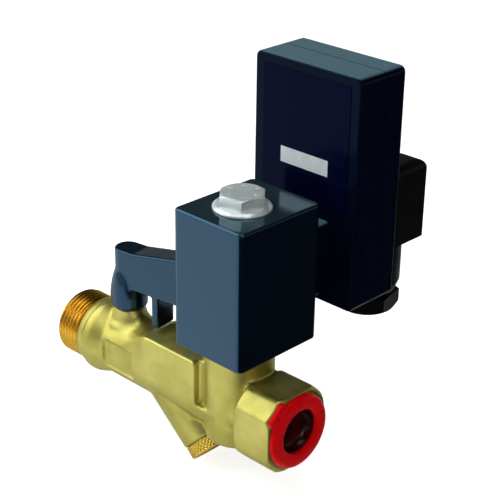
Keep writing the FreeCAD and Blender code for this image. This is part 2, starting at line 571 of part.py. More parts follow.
def make_coil():
    blank = coil_box("CoilBlank", "coil_width / 2", "coil_front", "coil_back", "coil_seat", COIL_TOP)
    blank = rounded("CoilCorners", blank, "coil_round", lambda e: along(e, "z"))
    blank = rounded("CoilRims", blank, "coil_edge",
                    lambda e: level(e, "z", COIL_TOP) or level(e, "z", "coil_seat"))
    low, high = "coil_seat + frame_margin", "%s - frame_margin" % COIL_TOP
    cavity = coil_box("CoilCavity", "frame_half + running_gap", "frame_front + running_gap",
                      "frame_back + running_gap", "%s - running_gap" % low, "%s + running_gap" % high)
    bore = rod("CoilBore", "coil_bore", "coil_height", ("tube_place", "0", "coil_seat"))
    seal_well = rod("SealWell", "tube_thread + 0.2", "1.2", ("tube_place", "0", "coil_seat"))
    slots = contact_blades("BladeSlots", "frame_back", "coil_back", "running_gap")
    screw_hole = across("CoilScrewHole", "screw_radius + running_gap", "coil_back - frame_back - 0.5",
                        "tube_place", "frame_back + 1", "socket_centre")
    part("coil_housing", cut("CoilHousing", blank, [cavity, bore, seal_well, screw_hole] + slots))

    outer = coil_box("FrameOuter", "frame_half", "frame_front", "frame_back", low, high)
    inner = coil_box("FrameInner", "frame_half + 1", "frame_front + 1", "frame_back - frame_sheet",
                     "%s + frame_sheet" % low, "%s - frame_sheet" % high)
    frame_bore = rod("FrameBore", "coil_bore", "coil_height", ("tube_place", "0", "coil_seat"))
    part("coil_frame", cut("CoilFrame", outer, [inner, frame_bore]))

    base = "%s + frame_sheet + 0.1" % low
    tall = "coil_height - 2 * (frame_margin + frame_sheet + 0.1)"
    hub = "coil_bore + bobbin_wall"
    far = "%s - bobbin_wall" % tall
    part("coil_bobbin", turned("CoilBobbin", [
        ("coil_bore", "0"), ("bobbin_flange", "0"), ("bobbin_flange", "bobbin_wall"), (hub, "bobbin_wall"),
        (hub, far), ("bobbin_flange", far), ("bobbin_flange", tall), ("coil_bore", tall)],
        ("tube_place", "0", base)))
    part("coil_winding", turned("CoilWinding", [
        (hub, "bobbin_wall + running_gap"), ("winding_radius", "bobbin_wall + running_gap"),
        ("winding_radius", "%s - running_gap" % far), (hub, "%s - running_gap" % far)],
        ("tube_place", "0", base)))
    part("coil_contact_blades", fuse("ContactBlades", contact_blades(
        "Blade", "frame_back + 0.4", "coil_back + blade_reach", "0")))

    part("coil_washer", turned("CoilWasher", [
        ("stud_radius + 0.3", "0"), ("washer_radius", "0"), ("washer_radius", "washer_height * 0.45"),
        ("washer_radius - 1.2", "washer_height"), ("stud_radius + 0.3", "washer_height")],
        ("tube_place", "0", COIL_TOP)))
    make_nut()


def contact_blades(name, front, back, gap):
    """Two upright live blades and a flat earth blade below them."""
    half, thin = "blade_width / 2 + (%s)" % gap, "blade_sheet / 2 + (%s)" % gap
    blades = []
    for n, side in enumerate(("-blade_pitch / 2", "blade_pitch / 2")):
        middle = "tube_place + %s" % side
        blades.append(brick(name + str(n),
                            ("%s - (%s)" % (middle, thin), front, "socket_centre - (%s)" % half),
                            ("%s + %s" % (middle, thin), back, "socket_centre + %s" % half)))
    earth = "socket_centre - blade_pitch / 2"
    blades.append(brick(name + "Earth", ("tube_place - (%s)" % half, front, "%s - (%s)" % (earth, thin)),
                        ("tube_place + %s" % half, back, "%s + %s" % (earth, thin))))
    return blades


def make_nut():
    foot = "%s + washer_height" % COIL_TOP
    blank = hexagon("NutBlank", "nut_flats", "nut_height", ("0", "0", "0"))
    lathe = turned("NutLathe", [
        ("0", "0"), ("nut_flats / 2 + 1.4", "0"), ("nut_flats / 2 + 1.4", "nut_height - 0.9"),
        ("nut_flats / 2 - 0.2", "nut_height"), ("0", "nut_height")])
    shaped = common("NutShaped", [blank, lathe])
    bore = rod("NutBore", "stud_radius", "nut_height - 1.1", ("0", "0", "0"))
    dimples = []
    for n in range(6):
        dimples.append(rod("Dimple%d" % n, "dimple_radius", "1", (
            "dimple_circle * cos(%d)" % (60 * n), "dimple_circle * sin(%d)" % (60 * n),
            "nut_height - dimple_depth")))
    nut = cut("CoilNut", shaped, [bore] + dimples)
    part("coil_nut", place(nut, ("tube_place", "0", foot), turn="nut_turn"))


# Timer: two half shells with the board, its dials, test button and lights

def timer_block(name, front, back, inset="0"):
    low = ("%s - timer_width / 2 + %s" % (TIMER_X, inset), front, "timer_bottom + %s" % inset)
    high = ("%s + timer_width / 2 - (%s)" % (TIMER_X, inset), back, "timer_top - (%s)" % inset)
    return brick(name, low, high)


def across(name, radius, length, x, y, z):
    return rod(name, radius, length, (x, y, z), "Y")


def make_timer_shells():
    front = timer_block("FrontBlank", "timer_face", "timer_split")
    front = rounded("FrontCorners", front, "timer_round", lambda e: along(e, "y"))
    front = rounded("FrontRim", front, "timer_edge", lambda e: level(e, "y", "timer_face"))
    socket = square_block("SocketBoss", "socket_side", SOCKET_FACE, "timer_face + 1")
    socket = rounded("SocketCorners", socket, "timer_round", lambda e: along(e, "y"))
    hollow = timer_block("FrontHollow", "timer_face + timer_wall", "timer_split", "timer_wall")
    well = square_block("SocketWell", "socket_side - 5", SOCKET_FACE, "timer_face + 0.5")
    slots = contact_blades("FrontSlots", "timer_face", "timer_face + timer_wall + 0.5",
                           "sleeve_wall + running_gap")
    screw = across("FrontScrewHole", "screw_radius + 0.1", "timer_split - timer_face + 8",
                   "tube_place", SOCKET_FACE, "socket_centre")
    shell = cut("FrontOpen", fuse("FrontSolid", [front, socket]), [hollow, well, screw] + slots)
    posts, bores = [], []
    for n, (x, z) in enumerate(timer_corners()):
        tall = "timer_split - timer_face - timer_wall"
        posts.append(across("FrontPost%d" % n, "post_radius", tall, x, "timer_face + timer_wall", z))
        bores.append(across("FrontPostBore%d" % n, "cover_screw + running_gap", tall, x,
                            "timer_face + timer_wall + 1.5", z))
    part("timer_front_shell", cut("FrontShell", fuse("FrontPosted", [shell] + posts), bores))

    rear = timer_block("RearBlank", "timer_split + seam", "timer_back")
    rear = rounded("RearCorners", rear, "timer_round", lambda e: along(e, "y"))
    rear = rounded("RearRim", rear, "timer_edge", lambda e: level(e, "y", "timer_back"))
    inside = timer_block("RearHollow", "timer_split + seam", REAR_SKIN, "timer_wall")
    holes = [inside]
    for n, side in enumerate(("-", "+")):
        x = "%s %s knob_pitch / 2" % (TIMER_X, side)
        holes.append(across("KnobHole%d" % n, "knob_radius + knob_gap", "timer_wall + 1", x,
                            REAR_SKIN + " - 0.5", "knob_height"))
        x = "%s %s light_pitch / 2" % (TIMER_X, side)
        holes.append(across("LightHole%d" % n, "light_radius + running_gap", "timer_wall + 1", x,
                            REAR_SKIN + " - 0.5", "light_height"))
    holes.append(across("ButtonHole", "button_radius + 0.1", "timer_wall + 1", TIMER_X,
                        REAR_SKIN + " - 0.5", "button_height"))
    holes += plug_blades("RearSlots", REAR_SKIN + " - 0.5", "timer_back + 0.5", "0.1")
    posts = [across("ScrewBoss", "screw_boss", "timer_back - (%s) - 0.5" % BOARD_BACK, TIMER_X,
                    BOARD_BACK + " + 0.3", PLUG_CENTRE)]
    bores = [across("ScrewBossBore", "screw_radius + running_gap", "timer_back - (%s)" % BOARD_BACK, TIMER_X,
                    BOARD_BACK + " + 0.4", PLUG_CENTRE)]
    for n, (x, z) in enumerate(timer_corners()):
        posts.append(across("RearPost%d" % n, "post_radius + 1", "timer_back - timer_split - seam - 0.5", x,
                            "timer_split + seam", z))
        bores.append(across("RearPostBore%d" % n, "cover_screw + 0.1", "timer_back - timer_split", x,
                            "timer_split", z))
        bores.append(across("RearCounterbore%d" % n, "cover_head + 0.2", "cover_head_depth + 0.01", x,
                            "timer_back - cover_head_depth", z))
    opened = cut("RearOpen", rear, holes)
    part("timer_rear_shell", cut("RearShell", fuse("RearPosted", [opened] + posts), bores))


def square_block(name, side, front, back):
    half = "(%s) / 2" % side
    return brick(name, ("tube_place - %s" % half, front, "socket_centre - %s" % half),
                 ("tube_place + %s" % half, back, "socket_centre + %s" % half))


def plug_blades(name, front, back, gap):
    """The three blades that the cable plug pushes onto."""
    half, thin = "blade_width / 2 + (%s)" % gap, "blade_sheet / 2 + (%s)" % gap
    blades = []
    for n, side in enumerate(("-", "+")):
        middle = "%s %s blade_pitch / 2" % (TIMER_X, side)
        blades.append(brick(name + str(n),
                            ("%s - (%s)" % (middle, thin), front, "%s - (%s)" % (PLUG_CENTRE, half)),
                            ("%s + %s" % (middle, thin), back, "%s + %s" % (PLUG_CENTRE, half))))
    earth = "%s - blade_pitch / 2" % PLUG_CENTRE
    blades.append(brick(name + "Earth", ("%s - (%s)" % (TIMER_X, half), front, "%s - (%s)" % (earth, thin)),
                        ("%s + %s" % (TIMER_X, half), back, "%s + %s" % (earth, thin))))
    return blades


def make_timer_inside():
    inset = "timer_wall + board_margin"
    board = timer_block("BoardBlank", BOARD_FACE, BOARD_BACK, inset)
    notches = [across("BoardNotch%d" % n, "post_radius + 1.5", "board_sheet", x, BOARD_FACE, z)
               for n, (x, z) in enumerate(timer_corners())]
    part("timer_board", cut("TimerBoard", board, notches))

    dials, knobs, lights = [], [], []
    for n, side in enumerate(("-", "+")):
        x = "%s %s knob_pitch / 2" % (TIMER_X, side)
        half = "dial_side / 2"
        box = brick("DialBox%d" % n, ("%s - %s" % (x, half), BOARD_BACK, "knob_height - %s" % half),
                    ("%s + %s" % (x, half), "%s + dial_depth" % BOARD_BACK, "knob_height + %s" % half))
        bore = across("DialBore%d" % n, "knob_shaft + running_gap", "dial_depth", x, BOARD_BACK,
                      "knob_height")
        dials.append(cut("Dial%d" % n, box, [bore]))
        light_x = "%s %s light_pitch / 2" % (TIMER_X, side)
        length = "timer_back + light_proud - (%s)" % BOARD_BACK
        stem = across("LightStem%d" % n, "light_radius", length + " - light_radius", light_x,
                      BOARD_BACK, "light_height")
        dome = solid("Sphere", "LightDome%d" % n, {"Radius": "light_radius"},
                     (light_x, "timer_back + light_proud - light_radius", "light_height"))
        lights.append(fuse("Light%d" % n, [stem, dome]))
    part("time_setting_dials", fuse("Dials", dials))
    for n, (side, name) in enumerate((("-", "knob_on_time"), ("+", "knob_off_time"))):
        make_knob(name, "%s %s knob_pitch / 2" % (TIMER_X, side))
    for light, name in zip(lights, ("light_power", "light_valve_open")):
        part(name, light)

    half = "switch_side / 2"
    base = brick("SwitchBase", ("%s - %s" % (TIMER_X, half), BOARD_BACK, "button_height - " + half),
                 ("%s + %s" % (TIMER_X, half), "%s + switch_depth" % BOARD_BACK, "button_height + " + half))
    part("test_switch", base)
    foot = REAR_SKIN + " - 0.1 - button_flange"
    tall = "timer_wall + button_proud + 0.1 + button_flange"
    rim = "button_radius + 0.8"
    part("test_button", turned("TestButton", [
        ("0", "0"), (rim, "0"), (rim, "button_flange"), ("button_radius", "button_flange"),
        ("button_radius", tall + " - 0.4"), ("button_radius - 0.4", tall), ("0", tall)],
        (TIMER_X, foot, "button_height"), "Y"))
    switch_top = "%s + switch_depth" % BOARD_BACK
    gap = "%s - (%s)" % (foot, switch_top)
    part("test_button_dome", turned("ButtonDome", [
        ("button_radius - 0.7", "running_gap"), ("button_radius - 0.3", "running_gap"),
        ("button_radius - 1.1", gap + " - running_gap"), ("button_radius - 1.5", gap + " - running_gap")],
        (TIMER_X, switch_top, "button_height"), "Y"))


def make_knob(name, x):
    foot = "%s + 1" % BOARD_BACK
    shaft = "timer_back - knob_depth - (%s)" % foot
    top = "timer_back + knob_proud - (%s)" % foot
    knob = turned(name.title().replace("_", ""), [
        ("0", "0"), ("knob_shaft", "0"), ("knob_shaft", shaft), ("knob_radius", shaft),
        ("knob_radius", top + " - 0.5"), ("knob_radius - 0.5", top), ("0", top)],
        (x, foot, "knob_height"), "Y")
    slot = brick(name + "Slot", ("%s - knob_slot / 2" % x, "timer_back + knob_proud - knob_slot_depth",
                                 "knob_height - 1"),
                 ("%s + knob_slot / 2" % x, "timer_back + knob_proud + 1", "knob_height + knob_radius + 1"))
    part(name, cut(name + "Cut", knob, [slot]))


def make_timer_outside():
    x = TIMER_X
    sheet_face = "timer_face - label_sheet"
    high = "timer_top - label_top"
    label = brick("LabelBlank", ("%s - label_width / 2" % x, sheet_face, "label_foot"),
                  ("%s + label_width / 2" % x, "timer_face", high))
    low = "%s + field_rise" % COIL_TOP
    field = (("%s - field_width / 2" % x, sheet_face, low),
             ("%s + field_width / 2" % x, "timer_face", low + " + field_height"))
    part("timer_label", cut("TimerLabel", label, [brick("FieldGap", *field)]))
    part("timer_label_field", brick("LabelField", *field))

    inset = "socket_side - 2 * gasket_inset"
    sheet_of_rubber = square_block("CoilGasketBlank", inset, "coil_back", SOCKET_FACE)
    window = square_block("CoilGasketWindow", "socket_side - 5", "coil_back", SOCKET_FACE)
    part("coil_socket_gasket", cut("CoilGasket", sheet_of_rubber, [window]))

    sleeve_start = "coil_back + blade_reach / 3"
    contacts = contact_blades("ContactSleeve", sleeve_start, "timer_face + timer_wall + 3", "sleeve_wall")
    holes = contact_blades("SleeveSlot", sleeve_start, "coil_back + blade_reach + 0.4", "0.1")
    part("timer_coil_contacts", cut("CoilContacts", fuse("Sleeves", contacts), holes))
    blades = plug_blades("PlugBlade", BOARD_BACK, "timer_back + plug_blade_reach", "0")
    part("timer_plug_blades", fuse("PlugBlades", blades))

    screws = []
    for n, (x, z) in enumerate(timer_corners()):
        screws.append(screw("CoverScrew%d" % n, "cover_screw", "cover_head", x, z,
                            "timer_face + timer_wall + 2", "timer_back - cover_head_depth"))
    part("timer_cover_screws", fuse("CoverScrews", screws))
    part("timer_fixing_screw", screw("FixingScrew", "screw_radius", "screw_head", "tube_place",
                                     "socket_centre", "frame_back + 1.5", "timer_face + timer_wall"))


def timer_corners():
    """Places of the four screws that hold the timer's shells together."""
    inset = "cover_screw_inset"
    return [("%s %s (timer_width / 2 - %s)" % (TIMER_X, side, inset), height)
            for side in "-+" for height in ("timer_bottom + " + inset, "timer_top - " + inset)]


def screw(name, radius, head_radius, x, z, start, seat):
    """A slotted screw along Y whose head seats at one face."""
    shank = across(name + "Shank", radius, "%s - (%s)" % (seat, start), x, start, z)
    head = across(name + "Head", head_radius, head_radius + " * 0.8", x, seat, z)
    slot = brick(name + "Slot", ("%s - %s" % (x, head_radius), "%s + %s * 0.5" % (seat, head_radius),
                                 "%s - %s * 0.15" % (z, head_radius)),
                 ("%s + %s" % (x, head_radius), "%s + %s" % (seat, head_radius),
                  "%s + %s * 0.15" % (z, head_radius)))
    return cut(name, fuse(name + "Blank", [shank, head]), [slot])


# Cable plug on the timer's back, with its gland pointing down

def connector_block(name, front, back, inset="0"):
    half = "connector_width / 2 - (%s)" % inset
    return brick(name, ("%s - (%s)" % (TIMER_X, half), front, "connector_bottom + %s" % inset),
                 ("%s + (%s)" % (TIMER_X, half), back, "connector_top - (%s)" % inset))


def make_plug():
    outer = connector_block("PlugBlank", PLUG_FACE, "connector_back")
    outer = rounded("PlugTop", outer, "connector_round", lambda e: level(e, "z", "connector_top") and (
        along(e, "y") or level(e, "y", "connector_back")))
    outer = rounded("PlugSides", outer, "edge_break", lambda e: along(e, "z"))
    neck = turned("PlugNeck", [
        ("0", "0"), ("gland_thread - running_gap", "0"),
        ("gland_thread - running_gap", "neck_bottom - neck_taper - gland_thread_end"),
        ("neck_outer - 1.8", "neck_bottom - neck_taper - gland_thread_end"),
        ("neck_outer", "neck_bottom - gland_thread_end"),
        ("neck_outer", "connector_bottom + 1 - gland_thread_end"),
        ("0", "connector_bottom + 1 - gland_thread_end")],
        (TIMER_X, "gland_place", "gland_thread_end"))
    solid_plug = fuse("PlugSolid", [outer, neck])
    hollow = connector_block("PlugHollow", PLUG_FACE,
                             "connector_back - connector_wall * 2 - screw_well_depth", "connector_wall")
    lower = brick("PlugLowerHollow", ("%s - connector_width / 2 + connector_wall" % TIMER_X, PLUG_FACE,
                                      "connector_bottom + connector_wall"),
                  ("%s + connector_width / 2 - connector_wall" % TIMER_X, "connector_back - connector_wall",
                   "%s - screw_well - connector_wall" % PLUG_CENTRE))
    bore = rod("GlandBore", "gland_bore", "connector_bottom + connector_wall + 1 - gland_thread_end",
               (TIMER_X, "gland_place", "gland_thread_end"))
    well = across("ScrewWell", "screw_well", "screw_well_depth + 0.01", TIMER_X,
                  "connector_back - screw_well_depth", PLUG_CENTRE)
    screw_hole = across("PlugScrewHole", "screw_radius + 0.1", "connector_back - timer_back", TIMER_X,
                        PLUG_FACE, PLUG_CENTRE)
    channel = brick("ScrewChannel",
                    ("%s - screw_well" % TIMER_X, "connector_back - screw_well_depth", PLUG_CENTRE),
                    ("%s + screw_well" % TIMER_X, "connector_back + 1", "connector_top + 1"))
    part("plug_housing", cut("PlugHousing", solid_plug, [hollow, lower, bore, well, screw_hole, channel]))

    inset = "0.6"
    sheet_of_rubber = connector_block("PlugGasketBlank", "timer_back", PLUG_FACE, inset)
    window = connector_block("PlugGasketWindow", "timer_back", PLUG_FACE, "3")
    part("plug_gasket", cut("PlugGasket", sheet_of_rubber, [window]))

    half, tall = "(block_side / 2 + 1)", "block_side / 2"
    insert = brick("InsertBlank",
                   ("%s - %s" % (TIMER_X, half), PLUG_FACE + " + seat_lift",
                    "%s - %s" % (PLUG_CENTRE, tall)),
                   ("%s + %s" % (TIMER_X, half), PLUG_FACE + " + block_depth",
                    "%s + %s" % (PLUG_CENTRE, tall)))
    slots = plug_blades("InsertSlots", PLUG_FACE, "timer_back + plug_blade_reach + 1", "running_gap")
    hole = across("InsertScrewHole", "screw_radius + 0.1", "block_depth", TIMER_X, PLUG_FACE, PLUG_CENTRE)
    part("plug_terminal_block", cut("TerminalBlock", insert, slots + [hole]))

    part("plug_screw", screw("PlugScrew", "screw_radius", "screw_head", TIMER_X, PLUG_CENTRE,
                             BOARD_BACK + " + 0.6", "connector_back - screw_well_depth"))


def make_gland():
    place_xy = (TIMER_X, "gland_place")
    blank = hexagon("GlandBlank", "gland_flats", "gland_top - gland_bottom", place_xy + ("gland_bottom",),
                    "gland_turn")
    lathe = turned("GlandLathe", [
        ("0", "0"), ("gland_flats / 2 - 0.6", "0"), ("gland_flats / 2 + 1.9", "1.8"),
        ("gland_flats / 2 + 1.9", "gland_top - gland_bottom"), ("0", "gland_top - gland_bottom")],
        place_xy + ("gland_bottom",))
    nut = common("GlandShaped", [blank, lathe])
    thread = rod("GlandThreadBore", "gland_thread", "gland_top - gland_bottom",
                 place_xy + ("gland_bottom + gland_floor",))
    mouth = rod("GlandMouth", "gland_mouth", "gland_floor", place_xy + ("gland_bottom",))
    part("gland_nut", cut("GlandNut", nut, [thread, mouth]))
    part("gland_washer", turned("GlandWasher", [
        ("gland_mouth", "0"), ("gland_bore - 0.1", "0"), ("gland_bore - 0.1", "grommet_washer"),
        ("gland_mouth", "grommet_washer")], place_xy + ("gland_bottom + gland_floor",)))
    foot = "gland_bottom + gland_floor + grommet_washer"
    part("gland_grommet", turned("GlandGrommet", [
        ("grommet_inner", "0"), ("gland_bore - running_gap", "0"),
        ("gland_bore - running_gap", "grommet_height"),
        ("grommet_inner", "grommet_height")], place_xy + (foot,)))


def make_cap():
    inner_face = "outlet_face - cap_skirt_length"
    cap = turned("CapTurned", [
        ("0", "0"), ("cap_skirt - 0.5", "0"), ("cap_skirt", "cap_skirt_length"),
        ("cap_radius - 0.3", "cap_skirt_length"), ("cap_radius", "cap_skirt_length + 0.4"),
        ("cap_radius", "cap_skirt_length + cap_flange - 0.6"),
        ("cap_radius - 0.8", "cap_skirt_length + cap_flange"),
        ("cap_mouth", "cap_skirt_length + cap_flange - 0.5"),
        ("cap_mouth - 1.2", "cap_wall"), ("0", "cap_wall")], (inner_face, "0", "0"), "X")
    tab = doc.addObject("Part::Box", "CapTabBox")
    tab.setExpression("Length", bound("cap_flange - 0.6"))
    tab.setExpression("Width", bound("cap_tab_width"))
    tab.setExpression("Height", bound("cap_tab_reach - cap_mouth - 1"))
    tab_end = "cap_tab_reach - cap_mouth - 1"
    tab = rounded("CapTabRound", tab, "cap_tab_width / 2 - 0.1",
                  lambda e: along(e, "x") and e.BoundBox.ZMin > value(tab_end) - 0.01)
    lift = doc.addObject("Part::Compound", "CapTab")
    lift.Links = [tab]
    tab.setExpression("Placement.Base.y", bound("-cap_tab_width / 2"))
    tab.setExpression("Placement.Base.z", bound("cap_mouth + 1"))
    lift.Placement = Placement(Vector(), Rotation(Vector(1, 0, 0), 45))
    lift.setExpression("Placement.Rotation.Angle", bound("cap_tab_angle"))
    lift.setExpression("Placement.Base.x", bound("outlet_face + 0.2"))
    part("outlet_cap", fuse("OutletCap", [cap, lift]))


def finish():
    doc.recompute()
    for item in doc.Objects:
        if any(word in item.State for word in ("Invalid", "Error")):
            raise RuntimeError("%s did not compute" % item.Name)
    os.makedirs("parts", exist_ok=True)
    for item in pieces:
        shape = item.Shape
        if shape.isNull() or not shape.isValid():
            raise RuntimeError("%s has no valid shape" % item.Label)
        shape.exportStep("parts/%s.step" % item.Label)
        print("%-24s %2d solids %9.1f mm3" % (item.Label, len(shape.Solids), shape.Volume))


make_body()
make_inlet()
make_ball_valve()
make_lever()
make_strainer()
make_armature()
make_coil()
make_timer_shells()
make_timer_inside()
make_timer_outside()
make_plug()
make_gland()
make_cap()
finish()
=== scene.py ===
# Timer controlled condensate drain valve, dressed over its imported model
import math

import bmesh
import bpy
from mathutils import Matrix, Vector


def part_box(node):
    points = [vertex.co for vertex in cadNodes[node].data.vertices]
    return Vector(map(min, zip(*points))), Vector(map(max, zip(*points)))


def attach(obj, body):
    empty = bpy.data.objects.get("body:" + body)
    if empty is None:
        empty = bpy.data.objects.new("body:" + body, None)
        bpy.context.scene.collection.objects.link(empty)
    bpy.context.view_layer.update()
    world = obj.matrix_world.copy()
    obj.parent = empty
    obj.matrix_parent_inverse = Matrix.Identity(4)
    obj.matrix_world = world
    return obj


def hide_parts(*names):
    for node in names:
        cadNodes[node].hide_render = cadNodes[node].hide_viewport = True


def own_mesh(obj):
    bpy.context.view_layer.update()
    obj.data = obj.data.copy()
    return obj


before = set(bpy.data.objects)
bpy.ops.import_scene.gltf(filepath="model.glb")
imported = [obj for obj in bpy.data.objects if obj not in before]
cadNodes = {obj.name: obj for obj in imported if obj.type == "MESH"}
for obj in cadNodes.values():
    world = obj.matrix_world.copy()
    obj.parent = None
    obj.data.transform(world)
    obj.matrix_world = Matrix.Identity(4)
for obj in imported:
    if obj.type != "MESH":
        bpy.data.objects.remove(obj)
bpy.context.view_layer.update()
scene = bpy.context.scene
mm = 0.001
weldGap = 0.00001
axisGap = 0.2 * mm  # a lathed outline ends this far from its axis

# where the main forms stand along X, in millimetres
stations = {"boss": 27.9, "branch": 52.1, "plateEnd": 77.1, "column": 87.6}

# the view of the photograph, worked out from the edges of coil, timer, block and thread
viewpoint = {
    "place": (0.38462, -0.30747, 0.26064),
    "turn": (64.91, -0.87, 44.03),
    "lens": 98.46, "sensor": 36.0, "clip": 0.01,
}

# lamps give place, size, power and tint, and cards are seen only in reflections
studio = {
    "floorHeight": -0.0322, "floorColour": (0.90, 0.90, 0.90), "floorRoughness": 0.9, "floorSpecular": 0.1,
    "floorGlow": 0.80, "floorReach": 2.5, "floorSides": 48,
    "aim": (0.07, 0.02, 0.04),
    "horizon": 0.80, "overhead": 0.03, "horizonEdge": 0.26, "skyTint": (0.88, 0.96, 1.0),
    "lamps": {
        "key": {"place": (-0.42, -0.33, 0.50), "size": (0.90, 0.80), "power": 5.2,
                "tint": (0.94, 0.99, 1.0)},
        "top": {"place": (0.20, -0.10, 0.85), "size": (0.60, 0.45), "power": 1.5,
                "tint": (1.0, 1.0, 1.0)},
        "fill": {"place": (0.75, -0.35, 0.32), "size": (0.30, 0.30), "power": 0.7,
                 "tint": (1.0, 0.98, 0.96)},
    },
    "cards": {
        "paleCard": {"corners": [(-0.60, -0.75), (0.13, -0.75), (0.13, -0.045), (-0.60, -0.045)],
                     "colour": (0.92, 0.97, 1.0), "glow": 1.15},
        "darkCard": {"corners": [(0.135, -0.30), (0.90, -0.30), (0.90, 0.95), (0.135, 0.95)],
                     "colour": (0.01, 0.01, 0.012), "glow": 1.0},
    },
}


def startMaterial(name):
    material = bpy.data.materials.new(name)
    material.use_nodes = True
    tree = material.node_tree
    return material, tree, tree.nodes["Principled BSDF"]


def noiseOf(tree, place, scale, detail=3.0):
    noise = tree.nodes.new("ShaderNodeTexNoise")
    noise.inputs["Scale"].default_value = scale
    noise.inputs["Detail"].default_value = detail
    tree.links.new(place, noise.inputs["Vector"])
    return noise.outputs["Fac"]


def stepped(tree, value, low, high, start=0.35, end=0.65):
    spread = tree.nodes.new("ShaderNodeMapRange")
    for name, number in (("From Min", start), ("From Max", end), ("To Min", low), ("To Max", high)):
        spread.inputs[name].default_value = number
    tree.links.new(value, spread.inputs["Value"])
    return spread.outputs["Result"]


def blendColours(tree, amount, first, second):
    mix = tree.nodes.new("ShaderNodeMix")
    mix.data_type = "RGBA"
    mix.inputs["A"].default_value = (*first, 1)
    mix.inputs["B"].default_value = (*second, 1)
    tree.links.new(amount, mix.inputs["Factor"])
    return mix.outputs["Result"]


def addBump(tree, height, strength, depth, under=None):
    bump = tree.nodes.new("ShaderNodeBump")
    bump.inputs["Strength"].default_value = strength
    bump.inputs["Distance"].default_value = depth
    tree.links.new(height, bump.inputs["Height"])
    if under is not None:
        tree.links.new(under, bump.inputs["Normal"])
    return bump.outputs["Normal"]


# what a finish has where its own entry says nothing else
plainFinish = {
    "metal": 0.0, "ior": 1.5, "specular": 0.5, "sheenTint": (1, 1, 1), "coat": 0.0, "coatRoughness": 0.1,
    "patchScale": 60.0, "smearScale": 150.0, "smearDetail": 5.0, "topSheen": None, "topSheenFacing": (0.75, 0.97),
    "grain": 0.15, "grainScale": 2500.0, "grainDetail": 2.0, "grainDepth": 0.0001, "turned": None,
}


def dressed(name, ownLook):
    look = {**plainFinish, **ownLook}
    material, tree, shader = startMaterial(name)
    place = tree.nodes.new("ShaderNodeTexCoord").outputs["Object"]
    shader.inputs["Metallic"].default_value = look["metal"]
    shader.inputs["IOR"].default_value = look["ior"]
    shader.inputs["Specular IOR Level"].default_value = look["specular"]
    if look["coat"]:
        shader.inputs["Coat Weight"].default_value = look["coat"]
        shader.inputs["Coat Roughness"].default_value = look["coatRoughness"]
    shader.inputs["Specular Tint"].default_value = (*look["sheenTint"], 1)
    patches = noiseOf(tree, place, look["patchScale"])
    colour = blendColours(tree, stepped(tree, patches, 0.0, 1.0), look["colour"], look["shade"])
    # upward faces get a painted highlight colour
    if look["topSheen"]:
        colour = paintedTopSheen(tree, colour, look["topSheen"], look["topSheenFacing"])
    tree.links.new(colour, shader.inputs["Base Color"])
    smears = noiseOf(tree, place, look["smearScale"], look["smearDetail"])
    tree.links.new(stepped(tree, smears, *look["roughness"]), shader.inputs["Roughness"])
    grain = noiseOf(tree, place, look["grainScale"], look["grainDetail"])
    normal = addBump(tree, grain, look["grain"], look["grainDepth"])
    if look["turned"]:
        rings = look["turned"]
        normal = addBump(tree, lathedRings(tree, place, rings), rings["strength"], rings["depth"], normal)
    tree.links.new(normal, shader.inputs["Normal"])
    return material


# painted highlight: the upward faces are painted a little paler and bluer, from the first facing to the
# second
def paintedTopSheen(tree, colour, topSheen, facing):
    parts = tree.nodes.new("ShaderNodeSeparateXYZ")
    outward = tree.nodes.new("ShaderNodeTexCoord").outputs["Normal"]
    tree.links.new(outward, parts.inputs["Vector"])
    mix = tree.nodes.new("ShaderNodeMix")
    mix.data_type = "RGBA"
    mix.inputs["B"].default_value = (*topSheen, 1)
    tree.links.new(colour, mix.inputs["A"])
    tree.links.new(stepped(tree, parts.outputs["Z"], 0.0, 1.0, *facing), mix.inputs["Factor"])
    return mix.outputs["Result"]


def lathedRings(tree, place, rings):
    wave = tree.nodes.new("ShaderNodeTexWave")
    wave.wave_type = "BANDS"
    wave.bands_direction = rings["along"]
    wave.inputs["Scale"].default_value = rings["scale"]
    wave.inputs["Distortion"].default_value = rings["waver"]
    wave.inputs["Detail"].default_value = 1.0
    tree.links.new(place, wave.inputs["Vector"])
    return wave.outputs["Fac"]


